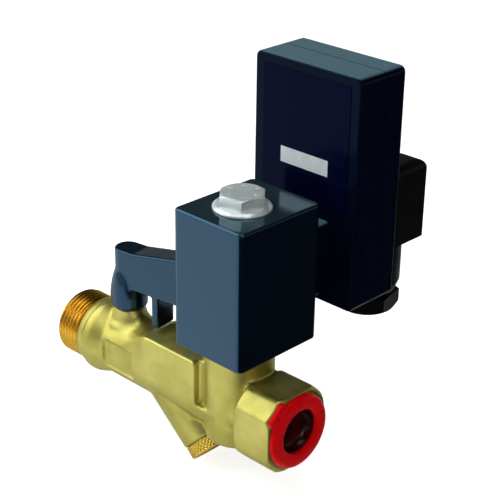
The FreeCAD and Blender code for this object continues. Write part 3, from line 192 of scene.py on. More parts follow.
finishes = {
    "castBrass": {"colour": (0.66, 0.585, 0.16), "shade": (0.50, 0.435, 0.10), "metal": 0.95,
                  "roughness": (0.36, 0.50), "patchScale": 70.0, "grainScale": 1400.0, "grain": 0.35,
                  "grainDepth": 0.00012},
    "turnedBrass": {"colour": (0.86, 0.50, 0.06), "shade": (0.76, 0.40, 0.04), "metal": 0.95,
                    "roughness": (0.16, 0.28), "patchScale": 120.0, "grain": 0.1,
                    "turned": {"along": "X", "scale": 900.0, "strength": 0.2, "depth": 0.00005,
                               "waver": 0.4}},
    "plugBrass": {"colour": (0.86, 0.60, 0.10), "shade": (0.76, 0.50, 0.07), "metal": 0.92,
                  "roughness": (0.20, 0.32), "grain": 0.15},
    "brightZinc": {"colour": (0.74, 0.77, 0.78), "shade": (0.62, 0.66, 0.67), "metal": 1.0,
                   "roughness": (0.14, 0.30), "patchScale": 220.0, "grain": 0.12},
    "nutZinc": {"colour": (0.92, 0.97, 0.96), "shade": (0.80, 0.86, 0.85), "metal": 0.45,
                "roughness": (0.24, 0.38), "patchScale": 260.0, "grain": 0.12},
    "drawnSteel": {"colour": (0.56, 0.57, 0.58), "shade": (0.47, 0.48, 0.50), "metal": 1.0,
                   "roughness": (0.25, 0.40), "grain": 0.2},
    "copperWire": {"colour": (0.72, 0.33, 0.16), "shade": (0.58, 0.23, 0.10), "metal": 1.0,
                   "roughness": (0.22, 0.36),
                   "turned": {"along": "Z", "scale": 650.0, "strength": 0.8, "depth": 0.00005,
                              "waver": 0.4}},
    # the coil's upward faces take a painted blue highlight
    "coilResin": {"colour": (0.002, 0.004, 0.009), "shade": (0.003, 0.006, 0.013), "ior": 1.6,
                  "specular": 0.95, "sheenTint": (0.24, 0.60, 1.0), "topSheen": (0.016, 0.034, 0.040),
                  "roughness": (0.08, 0.16), "patchScale": 40.0, "grainScale": 500.0, "grain": 0.03},
    # the timer's upward faces take a painted blue highlight
    "timerPlastic": {"colour": (0.001, 0.003, 0.010), "shade": (0.002, 0.004, 0.014),
                     "specular": 0.22, "ior": 1.3, "sheenTint": (0.10, 0.40, 1.0), "roughness": (0.20, 0.30),
                     "topSheen": (0.105, 0.195, 0.235), "patchScale": 50.0, "grainScale": 3200.0},
    "plugPlastic": {"colour": (0.002, 0.002, 0.002), "shade": (0.004, 0.004, 0.004),
                    "specular": 0.14, "roughness": (0.36, 0.48),
                    "patchScale": 60.0, "grainScale": 3000.0, "grain": 0.3},
    "leverNylon": {"colour": (0.003, 0.008, 0.016), "shade": (0.005, 0.011, 0.022), "ior": 1.6,
                   "specular": 0.85, "sheenTint": (0.28, 0.62, 1.0), "roughness": (0.14, 0.24),
                   "patchScale": 80.0, "grainScale": 1300.0, "grain": 0.06},
    "labelFilm": {"colour": (0.001, 0.001, 0.014), "shade": (0.001, 0.002, 0.018),
                  "specular": 0.3, "ior": 1.2, "sheenTint": (0.15, 0.35, 1.0),
                  "roughness": (0.14, 0.20), "patchScale": 30.0, "grainScale": 1800.0, "grain": 0.03},
    "labelField": {"colour": (0.78, 0.79, 0.80), "shade": (0.68, 0.69, 0.70), "roughness": (0.35, 0.45),
                   "patchScale": 160.0, "grain": 0.05},
    "blackRubber": {"colour": (0.014, 0.014, 0.014), "shade": (0.022, 0.022, 0.022),
                    "roughness": (0.6, 0.75), "grain": 0.3},
    "whitePtfe": {"colour": (0.86, 0.86, 0.83), "shade": (0.80, 0.80, 0.77), "roughness": (0.35, 0.5)},
    "boardGreen": {"colour": (0.02, 0.16, 0.05), "shade": (0.03, 0.22, 0.08), "roughness": (0.25, 0.4),
                   "patchScale": 300.0},
    "dialBlue": {"colour": (0.03, 0.10, 0.42), "shade": (0.02, 0.07, 0.32), "roughness": (0.3, 0.4)},
    "bobbinNylon": {"colour": (0.62, 0.56, 0.42), "shade": (0.54, 0.48, 0.35), "roughness": (0.4, 0.55)},
    "knobWhite": {"colour": (0.66, 0.67, 0.68), "shade": (0.58, 0.59, 0.60), "roughness": (0.25, 0.38)},
    "lensRed": {"colour": (0.60, 0.03, 0.02), "shade": (0.45, 0.02, 0.02), "roughness": (0.08, 0.15),
                "coat": 0.5},
    "lensGreen": {"colour": (0.04, 0.42, 0.10), "shade": (0.03, 0.30, 0.07), "roughness": (0.08, 0.15),
                  "coat": 0.5},
    "terminalGrey": {"colour": (0.16, 0.165, 0.175), "shade": (0.12, 0.125, 0.135),
                     "roughness": (0.4, 0.55)},
    "capRed": {"colour": (0.95, 0.001, 0.005), "shade": (0.84, 0.001, 0.004), "roughness": (0.26, 0.36),
               "specular": 0.3, "sheenTint": (1.0, 0.10, 0.12), "patchScale": 90.0,
               "grainScale": 900.0, "grain": 0.06},
    # painted shade: the cap's well is a darker red than its ring, standing in for the shade inside the recess
    "capWellPaintedShade": {"colour": (0.045, 0.0005, 0.001), "shade": (0.020, 0.0005, 0.001),
                "roughness": (0.22, 0.32), "specular": 0.3, "patchScale": 180.0, "grain": 0.06},
}

print("materials")
shades = {name: dressed(name, look) for name, look in finishes.items()}

wearing = {
    "castBrass": ["valve_body"],
    "turnedBrass": ["inlet_adapter", "valve_stem"],
    "plugBrass": ["strainer_plug"],
    "brightZinc": ["ball", "coil_contact_blades", "timer_coil_contacts",
                   "timer_plug_blades", "timer_cover_screws", "timer_fixing_screw", "plug_screw"],
    "nutZinc": ["coil_washer", "coil_nut"],
    "drawnSteel": ["strainer_screen", "armature_tube", "plunger", "fixed_core", "plunger_spring",
                   "coil_frame"],
    "copperWire": ["shading_ring", "coil_winding"],
    "coilResin": ["coil_housing"],
    "timerPlastic": ["timer_front_shell", "timer_rear_shell"],
    "plugPlastic": ["plug_housing", "gland_nut"],
    "leverNylon": ["lever_handle"],
    "labelFilm": ["timer_label"],
    "labelField": ["timer_label_field"],
    "blackRubber": ["strainer_plug_ring", "tube_seal_ring", "plunger_seal", "coil_socket_gasket",
                    "plug_gasket", "gland_grommet", "test_button_dome"],
    "whitePtfe": ["ball_seat_rings", "stem_packing", "gland_washer"],
    "boardGreen": ["timer_board"],
    "dialBlue": ["time_setting_dials"],
    "bobbinNylon": ["coil_bobbin"],
    "knobWhite": ["knob_on_time", "knob_off_time"],
    "lensRed": ["light_valve_open"],
    "lensGreen": ["light_power"],
    "terminalGrey": ["plug_terminal_block", "test_switch"],
    "capRed": ["outlet_cap", "test_button"],
}
for finish, names in wearing.items():
    for name in names:
        cadNodes[name].data.materials.clear()
        cadNodes[name].data.materials.append(shades[finish])


def newPiece(name, points, faces, finish, body, node, corner=38):
    mesh = bpy.data.meshes.new(name)
    mesh.from_pydata(points, [], faces)
    mesh.materials.append(shades[finish])
    for face in mesh.polygons:
        face.use_smooth = True
    mesh.validate()
    item = bpy.data.objects.new(name, mesh)
    scene.collection.objects.link(item)
    keepCorners = item.modifiers.new("keepCorners", "EDGE_SPLIT")
    keepCorners.split_angle = math.radians(corner)
    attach(item, body)
    if node:
        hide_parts(node)
    return item


# an outline is a closed list of (height, radius, relief) corners
# and a relief shapes the run to the next corner, in steps
def lathePoints(outline, around, reliefs=None, step=None):
    rows = []
    for (height, radius, relief), (nextHeight, nextRadius, _) in zip(outline, outline[1:] + outline[:1]):
        run = math.hypot(nextHeight - height, nextRadius - radius)
        count = max(1, round(run / step)) if relief else 1
        for n in range(count):
            share = n / count
            rows.append((height + (nextHeight - height) * share, radius + (nextRadius - radius) * share,
                         relief))
    points = []
    for height, radius, relief in rows:
        for n in range(around):
            angle = math.tau * n / around
            shaped = reliefs[relief](height, angle, radius) if relief else radius
            points.append((height, shaped, angle))
    faces = []
    for row in range(len(rows)):
        following = (row + 1) % len(rows)
        for n in range(around):
            beside = (n + 1) % around
            faces.append((row * around + n, row * around + beside,
                          following * around + beside, following * around + n))
    return points, faces


def alongAxis(points, start, axis):
    side = Vector((0, 1, 0))
    up = Vector(axis).cross(side)
    spots = []
    for height, radius, angle in points:
        spots.append(Vector(start) + Vector(axis) * height + side * (radius * math.cos(angle))
                     + up * (radius * math.sin(angle)))
    return spots


inletThread = {
    "major": 13.20 * mm, "depth": 1.10 * mm, "pitch": 1.814 * mm, "lead": 1.0 * mm,
    "start": -1.0 * mm, "end": 10.5 * mm,
    "flangeStart": 11.4 * mm, "flangeEnd": 15.0 * mm, "flange": 13.68 * mm,
    "spigot": 11.2 * mm, "spigotEnd": 19.8 * mm, "bore": 7.5 * mm, "boreEnd": 7.0 * mm, "port": 5.0 * mm,
    "crest": 0.12, "flank": 0.76, "soft": 0.35 * mm, "startDrop": 0.1 * mm, "castFrom": 11.35 * mm,
    "around": 192, "step": 0.12 * mm, "corner": 72,
}


def makeInletThread(size):
    def ridge(height, angle, radius):
        turn = (height / size["pitch"] - angle / math.tau) % 1.0
        drop = abs(turn * 2 - 1)
        drop = min(1.0, max(0.0, (drop - size["crest"]) / size["flank"]))
        lead = min(1.0, max(0.0, (height - size["start"]) / size["lead"]))
        return min(size["major"] - size["depth"] * drop, size["major"] - size["depth"] * (1 - lead))

    low, high = size["start"], size["spigotEnd"]
    root = size["major"] - size["depth"]
    soft = size["soft"]
    outline = [
        (low, size["bore"] + soft, None), (low, root - size["startDrop"], "thread"),
        (size["end"], root, None),
        (size["flangeStart"], root, None), (size["flangeStart"], size["flange"] - soft, None),
        (size["flangeStart"] + soft, size["flange"], None), (size["flangeEnd"] - soft, size["flange"], None),
        (size["flangeEnd"], size["flange"] - soft, None), (size["flangeEnd"], size["spigot"], None),
        (high, size["spigot"], None), (high, size["port"], None),
        (size["boreEnd"] + size["bore"] - size["port"], size["port"], None),
        (size["boreEnd"], size["bore"], None), (low + soft, size["bore"], None),
    ]
    points, faces = lathePoints(outline, size["around"], {"thread": ridge}, size["step"])
    item = newPiece("inletThread", alongAxis(points, (0, 0, 0), (1, 0, 0)), faces, "turnedBrass", "valve",
                    "inlet_adapter", size["corner"])
    item.data.materials.append(shades["castBrass"])
    for face in item.data.polygons:
        if face.center.x > size["castFrom"]:
            face.material_index = 1


strainerPlug = {
    "root": (stations["branch"] * mm, 0, 0), "lean": 45.0,
    "headStart": 29.8 * mm, "headEnd": 34.7 * mm, "head": 10.68 * mm,
    "diamonds": 40, "pitch": 1.66 * mm, "cut": 0.60 * mm, "bevel": 0.6 * mm, "threadRadius": 9.12 * mm,
    "threadPitch": 1.5 * mm, "threadCut": 0.8 * mm, "threadStart": 22.5 * mm, "groove": 7.95 * mm,
    "grooveStart": 27.2 * mm, "grooveEnd": 29.0 * mm, "spigot": 5.8 * mm, "spigotStart": 19.3 * mm,
    "dimple": 3.0 * mm, "dimpleDepth": 0.5 * mm, "plainEdge": 0.35 * mm, "fadeIn": 0.3 * mm, "sharpness": 3,
    "around": 240, "step": 0.2 * mm, "corner": 72,
}


def makeStrainerPlug(size):
    def knurl(height, angle, radius):
        across = angle * size["diamonds"] / math.tau
        along = (height - size["headStart"]) / size["pitch"]
        left = abs(((across + along) % 1.0) * 2 - 1)
        right = abs(((across - along) % 1.0) * 2 - 1)
        edge = min(height - size["headStart"], size["headEnd"] - height)
        fade = min(1.0, max(0.0, (edge - size["plainEdge"]) / size["fadeIn"]))
        return radius - size["cut"] * max(left, right) ** size["sharpness"] * fade

    def thread(height, angle, radius):
        turn = (height / size["threadPitch"] - angle / math.tau) % 1.0
        return radius - size["threadCut"] * abs(turn * 2 - 1)

    low, high, head, bevel = size["headStart"], size["headEnd"], size["head"], size["bevel"]
    outline = [
        (size["spigotStart"], axisGap, None), (size["spigotStart"], size["spigot"], None),
        (size["threadStart"], size["spigot"], None), (size["threadStart"], size["threadRadius"], "thread"),
        (size["grooveStart"], size["threadRadius"], None), (size["grooveStart"], size["groove"], None),
        (size["grooveEnd"], size["groove"], None), (size["grooveEnd"], size["threadRadius"], None),
        (low, size["threadRadius"], None), (low, head - bevel * 0.5, None),
        (low + bevel * 0.5, head, "knurl"),
        (high - bevel, head, None), (high, head - bevel, None), (high, size["dimple"], None),
        (high - size["dimpleDepth"], axisGap, None),
    ]
    lean = math.radians(size["lean"])
    points, faces = lathePoints(outline, size["around"], {"knurl": knurl, "thread": thread}, size["step"])
    newPiece("strainerPlug", alongAxis(points, size["root"], (math.sin(lean), 0, -math.cos(lean))), faces,
             "plugBrass", "strainer_plug", "strainer_plug", size["corner"])


# the well curve gives how far each corner lies above the floor and outside its radius, in millimetres
outletCap = {
    "inner": 111.5 * mm, "seat": 115.7 * mm, "outer": 117.9 * mm, "rim": 14.08 * mm, "skirt": 10.3 * mm,
    "skirtTaper": 0.2 * mm, "skirtSoft": 0.4 * mm, "rimBack": 0.2 * mm, "rimDrop": 0.3 * mm,
    "mouth": 8.3 * mm, "rimRound": 1.9 * mm, "lipRound": 1.6 * mm,
    "floor": 112.95 * mm, "floorRadius": 6.6 * mm,
    "wellCurve": [(1.6, 0.9), (0.7, 0.4), (0.2, -0.5), (0.0, -1.6)], "wellLip": 1.4,
    "tabWidth": 9.4 * mm, "tabReach": 17.5 * mm, "tabLean": 45.0, "tabThick": 1.5 * mm,
    "tabRoot": 2.2 * mm, "tabRound": 1.6 * mm, "tabSoft": 0.3 * mm, "tabSoftDrop": 0.4 * mm, "around": 144,
}


def makeOutletCap(size):
    outer, big, small, soft = size["outer"], size["rimRound"], size["lipRound"], size["skirtSoft"]
    quarter = [math.pi / 2 * n / 8 for n in range(9)]
    rimCurve = [(outer - big + big * math.sin(a), size["rim"] - big + big * math.cos(a), None)
                for a in quarter]
    lip = [(outer - small + small * math.cos(a), size["mouth"] + small - small * math.sin(a), None)
           for a in quarter]
    floor = size["floor"]
    well = [(floor + up * mm, size["floorRadius"] + out * mm, None) for up, out in size["wellCurve"]]
    outline = [
        (size["inner"], axisGap, None), (size["inner"], size["skirt"] - size["skirtTaper"] - soft, None),
        (size["inner"] + soft, size["skirt"] - size["skirtTaper"], None), (size["seat"], size["skirt"], None),
        (size["seat"], size["rim"] - size["rimDrop"], None),
        (size["seat"] + size["rimBack"], size["rim"], None),
    ] + rimCurve + lip + well + [(floor, axisGap, None)]
    points, faces = lathePoints(outline, size["around"])
    cap = newPiece("outletCap", alongAxis(points, (0, 0, 0), (1, 0, 0)), faces, "capRed", "outlet_cap",
                   "outlet_cap")
    # the faces down in the well take the darker red, a painted shade
    cap.data.materials.append(shades["capWellPaintedShade"])
    for face in cap.data.polygons:
        inWell = math.hypot(*face.center.yz) < size["mouth"] + 0.2 * mm
        if inWell and floor - mm < face.center.x < outer - small * size["wellLip"]:
            face.material_index = 1
    half, reach, low = size["tabWidth"] / 2, size["tabReach"], size["mouth"] + size["tabRoot"]
    bend = size["tabRound"]
    side = [(-half, low), (half, low)]
    for centre, first in ((half - bend, 0.0), (-half + bend, math.pi / 2)):
        side += [(centre + bend * math.cos(first + math.pi / 2 * n / 6),
                  reach - bend + bend * math.sin(first + math.pi / 2 * n / 6)) for n in range(7)]
    turn = Matrix.Rotation(math.radians(size["tabLean"]), 4, "X")
    spots, thick = [], size["tabThick"]
    for inset, height in ((0.0, 0.0), (0.0, thick - size["tabSoftDrop"]), (size["tabSoft"], thick)):
        for across, up in side:
            shrink = 1 - inset / half
            spots.append(turn @ Vector((size["seat"] + 0.2 * mm + height, across * shrink,
                                        low + (up - low) * (1 - inset / reach))))
    count = len(side)
    walls = [tuple(range(count))[::-1], tuple(range(2 * count, 3 * count))]
    for row in (0, count):
        walls += [(row + n, row + (n + 1) % count, row + count + (n + 1) % count, row + count + n)
                  for n in range(count)]
    newPiece("outletCapTab", spots, walls, "capRed", "outlet_cap", None)


# the two ways in which a prism's outline and its ends are laid along the axes
def upwards(x, y, z):
    return x, y, z


def sideways(x, z, y):
    return x, y, z


# closed shells that share one mesh, which the voxel remesh joins into one skin
def addPrism(shells, outline, low, high, spot):
    ends = [[shells.verts.new(spot(a, b, end)) for a, b in outline] for end in (low, high)]
    shells.faces.new(ends[0][::-1])
    shells.faces.new(ends[1])
    for n in range(len(outline)):
        after = (n + 1) % len(outline)
        shells.faces.new((ends[0][n], ends[0][after], ends[1][after], ends[1][n]))


def addTube(shells, rings):
    rows = [[shells.verts.new(spot) for spot in ring] for ring in rings]
    for row, following in zip(rows, rows[1:]):
        for n in range(len(row)):
            after = (n + 1) % len(row)
            shells.faces.new((row[n], row[after], following[after], following[n]))
    shells.faces.new(rows[0][::-1])
    shells.faces.new(rows[-1])


def addTurned(shells, outline, centre, around=72):
    rows = []
    for n in range(around):
        angle = math.tau * n / around
        rows.append([shells.verts.new((centre + radius * math.cos(angle), radius * math.sin(angle), height))
                     for radius, height in outline(angle)])
    for n, row in enumerate(rows):
        beside = rows[(n + 1) % around]
        for k in range(len(row)):
            after = (k + 1) % len(row)
            shells.faces.new((row[k], beside[k], beside[after], row[after]))


def meshOf(shells, name):
    bmesh.ops.recalc_face_normals(shells, faces=shells.faces)
    mesh = bpy.data.meshes.new(name)
    shells.to_mesh(mesh)
    shells.free()
    return mesh


# the finished mesh that a passing object has once its modifiers are worked out
def workedOut(item):
    bpy.context.view_layer.update()
    graph = bpy.context.evaluated_depsgraph_get()
    mesh = bpy.data.meshes.new_from_object(item.evaluated_get(graph))
    bpy.data.objects.remove(item)
    return mesh


def passingObject(mesh):
    item = bpy.data.objects.new("passing", mesh)
    scene.collection.objects.link(item)
    return item


def evenSkin(mesh, voxel, finish):
    rough = passingObject(mesh)
    remesh = rough.modifiers.new("evenSkin", "REMESH")
    remesh.mode = "VOXEL"
    remesh.voxel_size = voxel
    skin = workedOut(rough)
    skin.materials.clear()
    skin.materials.append(shades[finish])
    for face in skin.polygons:
        face.use_smooth = True
    return skin


def smoothed(item, name, passes, group=""):
    modifier = item.modifiers.new(name, "SMOOTH")
    modifier.factor, modifier.iterations, modifier.vertex_group = 0.5, passes, group


# the hub outline gives radius and height in millimetres
lever = {
    "place": stations["boss"] * mm, "turn": 8.0, "length": 37.0 * mm, "half": 5.1 * mm, "foot": 27.0 * mm,
    "hubTop": 42.0 * mm, "endTop": 47.2 * mm, "riseStart": 5.9 * mm,
    "hubOutline": [(0.05, 17.9), (6.8, 17.9), (7.2, 18.3), (7.2, 23.0), (7.0, 25.5), (6.6, 28.0),
                   (6.0, 30.5), (5.2, 33.0), (0.05, 33.0)],
    "lugNear": 15.0 * mm, "lugFar": 18.0 * mm, "lugHalf": 4.8 * mm, "lugFoot": 14.1 * mm,
    "voxel": 0.36 * mm, "roundPasses": 9,
}


def makeLever(size):
    turn = math.radians(size["turn"])

    def alongLever(along, height, across):
        return (size["place"] + along * math.cos(turn) - across * math.sin(turn),
                along * math.sin(turn) + across * math.cos(turn), height)

    def upward(along, across, height):
        return alongLever(along, height, across)

    shells = bmesh.new()
    half, foot = size["half"], size["foot"]
    addPrism(shells, [(0, foot), (size["length"], foot), (size["length"], size["endTop"]),
                      (size["riseStart"], size["hubTop"]), (0, size["hubTop"])], -half, half, alongLever)
    turns = [math.tau * n / 48 for n in range(48)]
    addPrism(shells, [(half * math.cos(a), half * math.sin(a)) for a in turns], foot, size["hubTop"], upward)
    near, far, side = size["lugNear"], size["lugFar"], size["lugHalf"]
    addPrism(shells, [(near, -side), (far, -side), (far, side), (near, side)],
             size["lugFoot"], foot + mm, upward)
    hub = [(radius * mm, height * mm) for radius, height in size["hubOutline"]]
    addTurned(shells, lambda angle: hub, size["place"])
    item = passingObject(evenSkin(meshOf(shells, "leverBlank"), size["voxel"], "leverNylon"))
    item.name = item.data.name = "leverHandle"
    smoothed(item, "mouldedEdges", size["roundPasses"])
    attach(item, "lever_shaft")
    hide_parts("lever_handle")


casting = {
    "voxel": 0.42 * mm, "evenPasses": 4, "blendPasses": 26,
    "barrel": 12.9 * mm, "bossPlace": stations["boss"] * mm, "boss": 6.35 * mm, "bossTop": 17.6 * mm,
    "bossSoft": 0.4 * mm, "bossBore": 2.7 * mm, "boreFoot": 13.6 * mm,
    "footReach": (3.4 * mm, 1.7 * mm), "footDrop": 0.8 * mm, "footSink": 0.9 * mm,
    "blendStart": 33.0 * mm, "shoulderStart": 49.2 * mm, "shoulderTop": 16.4 * mm, "blendInside": 11.3 * mm,
    "flankEase": 1.3, "topEase": 4.7, "topSharpness": 8,
    "plateEnd": stations["plateEnd"] * mm, "column": 12.6 * mm, "columnPlace": stations["column"] * mm,
    "stepFoot": -1.0 * mm, "stepFloor": 10.2 * mm, "stepInside": 6.0 * mm, "cutReach": 20 * mm,
    "padStart": 26.3 * mm, "padEnd": 42.4 * mm, "padHalf": 5.7 * mm, "padFloor": 10.85 * mm,
    "padLine": 0.8 * mm, "padLineFloor": 10.2 * mm,
}


# the boss spreads onto the barrel like a bell, a little further towards the coil
def bossOutline(size, angle):
    boss, barrel, top = size["boss"], size["barrel"], size["bossTop"]
    reach = size["footReach"][0] + size["footReach"][1] * math.cos(angle)

    def barrelHeight(radius):
        return math.sqrt(barrel ** 2 - (radius * math.sin(angle)) ** 2)

    outline = [(size["bossBore"], size["boreFoot"]), (size["bossBore"], top),
               (boss - size["bossSoft"], top), (boss, top - size["bossSoft"])]
    spread = [boss + reach * share / 10 for share in range(11)]
    for radius in spread:
        lift = reach - math.sqrt(max(0.0, reach ** 2 - (reach - radius + boss) ** 2))
        outline.append((radius, min(top - size["footDrop"], barrelHeight(radius) + lift)))
    for radius in spread[::-2]:
        outline.append((radius, barrelHeight(radius) - size["footSink"]))
    return outline


# the round barrel turns into the flat sided shoulder, its flank sooner than its top
def shoulderBlend(size):
    rings = []
    for n in range(13):
        share = n / 12
        x = size["blendStart"] + (size["shoulderStart"] - size["blendStart"]) * share
        outer, inner = [], []
        for k in range(37):
            angle = math.pi * k / 36
            flat = min(size["barrel"] / max(abs(math.cos(angle)), 0.01),
                       size["shoulderTop"] / max(math.sin(angle), 0.01))
            weight = share ** (size["flankEase"] + size["topEase"] * math.sin(angle) ** size["topSharpness"])
            radius = size["barrel"] + (flat - size["barrel"]) * weight
            outer.append((x, radius * math.cos(angle), radius * math.sin(angle)))
            inner.append((x, size["blendInside"] * math.cos(angle), size["blendInside"] * math.sin(angle)))
        rings.append(outer + inner[::-1])
    return rings


# what is cut away: a recess on each side of the column and the rating pad, then the line round the pad
def castingCutters(size):
    recesses, line = bmesh.new(), bmesh.new()
    middle, column, floor = size["columnPlace"], size["column"], size["stepFloor"]
    first = math.asin(floor / column)
    turns = [first + (math.pi / 2 - first) * n / 12 for n in range(13)]
    reach = size["cutReach"]
    for side in (-1, 1):
        outline = [(size["plateEnd"], side * reach), (size["plateEnd"], side * floor)]
        outline += [(middle - column * math.cos(a), side * column * math.sin(a)) for a in turns]
        addPrism(recesses, outline + [(middle, side * reach)], size["stepFoot"], reach, upwards)
    left, right, half, wide = size["padStart"], size["padEnd"], size["padHalf"], size["padLine"]
    pad = [(left, -half), (right - wide / 2, -half), (right - wide / 2, half - wide / 2),
           (left, half - wide / 2)]
    addPrism(recesses, pad, -reach, -size["padFloor"], sideways)
    bend = [(right - wide, -half), (right, -half), (right, half), (left, half), (left, half - wide),
            (right - wide, half - wide)]
    addPrism(line, bend, -reach, -size["padLineFloor"], sideways)
    return [passingObject(meshOf(cutter, "castingCutter")) for cutter in (recesses, line)]


def makeCasting(size):
    welded = bmesh.new()
    welded.from_mesh(cadNodes["valve_body"].data)
    bmesh.ops.remove_doubles(welded, verts=welded.verts, dist=weldGap)
    shells = bmesh.new()
    shells.from_mesh(meshOf(welded, "castBlank"))
    addTurned(shells, lambda angle: bossOutline(size, angle), size["bossPlace"])
    addTube(shells, shoulderBlend(size))
    column, floor, inside = size["column"], size["stepFloor"], size["stepInside"]
    corner = size["columnPlace"] - math.sqrt(column ** 2 - floor ** 2) + mm
    for side in (-1, 1):
        strip = [(size["plateEnd"] - mm, side * inside), (corner, side * inside), (corner, side * floor),
                 (size["plateEnd"] - mm, side * floor)]
        addPrism(shells, strip, size["stepFoot"], size["shoulderTop"], upwards)
    blank = passingObject(evenSkin(meshOf(shells, "castShells"), size["voxel"], "castBrass"))
    cutters = castingCutters(size)
    for cutter in cutters:
        cut = blank.modifiers.new("cutAway", "BOOLEAN")
        cut.operation, cut.solver, cut.object = "DIFFERENCE", "EXACT", cutter
    skin = evenSkin(workedOut(blank), size["voxel"], "castBrass")
    for cutter in cutters:
        bpy.data.objects.remove(cutter)
    item = passingObject(skin)
    item.name = skin.name = "valveCasting"
    blends = item.vertex_groups.new(name="blends")
    for vertex in skin.vertices:
        amount = blendAmount(vertex.co, crisp)
        if amount > 0:
            blends.add([vertex.index], amount, "REPLACE")
    smoothed(item, "evenOut", size["evenPasses"])
    smoothed(item, "castFillets", size["blendPasses"], "blends")
    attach(item, "valve")
    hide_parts("valve_body")


# in millimetres, the machined ends, bores and seats that stay crisp
crisp = {
    "inletEnd": 17, "outletEnd": 99.5, "boreRadius": 9.9, "boreTop": 9, "columnTop": 23.2,
    "bossRadius": 7.5, "bossFoot": 16.4, "plateEdge": 1.2, "plateSide": 7.5, "plateShare": 0.15,
    "branchStart": 3, "branchEnd": 28.4, "branchRadius": 9.6, "columnRadius": 10.5, "columnFoot": 10,
    "padStart": 25, "padEnd": 43.4, "padFace": -10.2, "padHalf": 6.6,
}


# how much of a fillet a cast corner gets, from none to all of it
def blendAmount(spot, places):
    x, y, z = spot.x / mm, spot.y / mm, spot.z / mm
    inBore = math.hypot(y, z) < places["boreRadius"] and z < places["boreTop"]
    if x < places["inletEnd"] or x > places["outletEnd"] or inBore or z > places["columnTop"]:
        return 0.0
    if math.hypot(x - stations["boss"], y) < places["bossRadius"] and z > places["bossFoot"]:
        return 0.0
    if abs(x - stations["plateEnd"]) < places["plateEdge"] and abs(y) > places["plateSide"]:
        return places["plateShare"]
    along = (x - stations["branch"]) * math.sqrt(0.5) - z * math.sqrt(0.5)
    outward = math.hypot((x - stations["branch"]) * math.sqrt(0.5) + z * math.sqrt(0.5), y)
    if along > places["branchEnd"] or along > places["branchStart"] and outward < places["branchRadius"]:
        return 0.0
    if math.hypot(x - stations["column"], y) < places["columnRadius"] and z > places["columnFoot"]:
        return 0.0
    if places["padStart"] < x < places["padEnd"] and y < places["padFace"] and abs(z) < places["padHalf"]:
        return 0.0
    return 1.0


# width in millimetres and steps of each node's rounded edges
softEdges = {
    "coil_housing": (0.9, 4), "coil_nut": (0.25, 3), "coil_washer": (0.2, 2), "timer_front_shell": (0.3, 3),
    "timer_rear_shell": (0.3, 3), "plug_housing": (0.45, 3), "gland_nut": (0.5, 3),
    "knob_on_time": (0.2, 2), "knob_off_time": (0.2, 2), "plug_screw": (0.15, 2), "test_button": (0.2, 2),
}
sharpFrom = 35


# shades a carried over node smoothly without a change to its mesh
smoothShading = bpy.data.node_groups.new("smoothShading", "GeometryNodeTree")
for direction in ("INPUT", "OUTPUT"):
    smoothShading.interface.new_socket("Geometry", in_out=direction, socket_type="NodeSocketGeometry")
shadeInput = smoothShading.nodes.new("NodeGroupInput").outputs[0]
shadeNode = smoothShading.nodes.new("GeometryNodeSetShadeSmooth")
shadeOutput = smoothShading.nodes.new("NodeGroupOutput").inputs[0]
smoothShading.links.new(shadeInput, shadeNode.inputs["Geometry"])
smoothShading.links.new(shadeNode.outputs["Geometry"], shadeOutput)


def softenEdges(name, width, steps):
    item = cadNodes[name]
    weld = item.modifiers.new("weld", "WELD")
    weld.merge_threshold = weldGap
    bevel = item.modifiers.new("softEdges", "BEVEL")
    bevel.width = width * mm
    bevel.segments = steps
    bevel.limit_method = "ANGLE"
    bevel.angle_limit = math.radians(sharpFrom)
    shade = item.modifiers.new("smoothShading", "NODES")
    shade.node_group = smoothShading
    item.modifiers.new("evenShading", "WEIGHTED_NORMAL")


# travel is how far the joint goes, and held is the end of the piece that stays put
squeezes = {
    "plunger_spring": {"joint": "plunger_lift", "along": 2, "travel": 2.0 * mm, "held": "high"},
    "test_button_dome": {"joint": "test_button_press", "along": 1, "travel": 1.2 * mm, "held": "low"},
}


def squeezed(name, joint, along, travel, held):
    low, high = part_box(name)
    anchor = [(a + b) / 2 for a, b in zip(low, high)]
    anchor[along] = high[along] if held == "high" else low[along]
    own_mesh(cadNodes[name])


print("inlet thread, strainer plug and cap")
makeInletThread(inletThread)
makeStrainerPlug(strainerPlug)
makeOutletCap(outletCap)
print("brass casting")
makeCasting(casting)
print("lever")
makeLever(lever)
print("soft edges")
for name, (width, steps) in softEdges.items():
    softenEdges(name, width, steps)
print("spring and dome")
for name, squeeze in squeezes.items():
    squeezed(name, **squeeze)


print("camera and studio")
camera = bpy.data.objects.new("camera", bpy.data.cameras.new("camera"))
camera.data.lens = viewpoint["lens"]
camera.data.sensor_width = viewpoint["sensor"]
camera.data.clip_start = viewpoint["clip"]
camera.location = viewpoint["place"]
camera.rotation_euler = [math.radians(angle) for angle in viewpoint["turn"]]
scene.collection.objects.link(camera)
scene.camera = camera
scene.view_settings.view_transform = "Standard"


def mathOf(tree, kind, first, second=None):
    node = tree.nodes.new("ShaderNodeMath")
    node.operation = kind
    for spot, value in enumerate((first, second)):
        if isinstance(value, float):
            node.inputs[spot].default_value = value
        elif value is not None:
            tree.links.new(value, node.inputs[spot])
    return node.outputs["Value"]


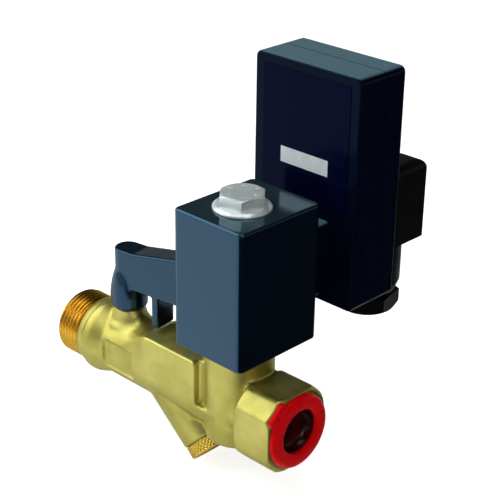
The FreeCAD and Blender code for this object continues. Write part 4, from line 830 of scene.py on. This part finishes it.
def paleFloor():
    material, tree, shader = startMaterial("floorPaper")
    shader.inputs["Base Color"].default_value = (*studio["floorColour"], 1)
    shader.inputs["Roughness"].default_value = studio["floorRoughness"]
    shader.inputs["Specular IOR Level"].default_value = studio["floorSpecular"]
    shader.inputs["Emission Color"].default_value = (1, 1, 1, 1)
    path = tree.nodes.new("ShaderNodeLightPath")
    glow = mathOf(tree, "MULTIPLY", path.outputs["Is Camera Ray"], studio["floorGlow"])
    tree.links.new(glow, shader.inputs["Emission Strength"])
    mesh = bpy.data.meshes.new("floor")
    reach, sides = studio["floorReach"], studio["floorSides"]
    turns = [math.tau * n / sides for n in range(sides)]
    ring = [(reach * math.cos(a), reach * math.sin(a), studio["floorHeight"]) for a in turns]
    mesh.from_pydata(ring, [], [range(sides)])
    mesh.materials.append(material)
    floor = bpy.data.objects.new("floor", mesh)
    scene.collection.objects.link(floor)


# the camera sees plain white, and everything else a pale horizon under a darker ceiling
def paleSurround():
    world = bpy.data.worlds.new("surround")
    scene.world = world
    world.use_nodes = True
    tree = world.node_tree
    sky = tree.nodes["Background"]
    heading = tree.nodes.new("ShaderNodeTexCoord").outputs["Generated"]
    parts = tree.nodes.new("ShaderNodeSeparateXYZ")
    tree.links.new(heading, parts.inputs["Vector"])
    height = mathOf(tree, "ABSOLUTE", parts.outputs["Z"])
    level = stepped(tree, height, studio["horizon"], studio["overhead"], 0.0, studio["horizonEdge"])
    path = tree.nodes.new("ShaderNodeLightPath")
    seen = path.outputs["Is Camera Ray"]
    tree.links.new(blendColours(tree, seen, studio["skyTint"], (1, 1, 1)), sky.inputs["Color"])
    tree.links.new(mathOf(tree, "MAXIMUM", seen, level), sky.inputs["Strength"])


def softLight(name, lamp):
    light = bpy.data.lights.new(name, "AREA")
    light.shape = "RECTANGLE"
    light.size, light.size_y = lamp["size"]
    light.energy = lamp["power"]
    light.color = lamp["tint"]
    item = bpy.data.objects.new(name, light)
    item.location = lamp["place"]
    aim = Vector(studio["aim"]) - item.location
    item.rotation_euler = aim.to_track_quat("-Z", "Y").to_euler()
    scene.collection.objects.link(item)


def reflectedCard(name, card):
    material, _, shader = startMaterial(name)
    shader.inputs["Base Color"].default_value = (0, 0, 0, 1)
    shader.inputs["Specular IOR Level"].default_value = 0.0
    shader.inputs["Emission Color"].default_value = (*card["colour"], 1)
    shader.inputs["Emission Strength"].default_value = card["glow"]
    mesh = bpy.data.meshes.new(name)
    mesh.from_pydata([(x, y, studio["floorHeight"] + mm) for x, y in card["corners"]], [], [range(4)])
    mesh.materials.append(material)
    item = bpy.data.objects.new(name, mesh)
    scene.collection.objects.link(item)
    item.visible_camera = item.visible_diffuse = item.visible_shadow = item.visible_transmission = False


paleFloor()
paleSurround()
for name, lamp in studio["lamps"].items():
    softLight(name, lamp)
for name, card in studio["cards"].items():
    reflectedCard(name, card)
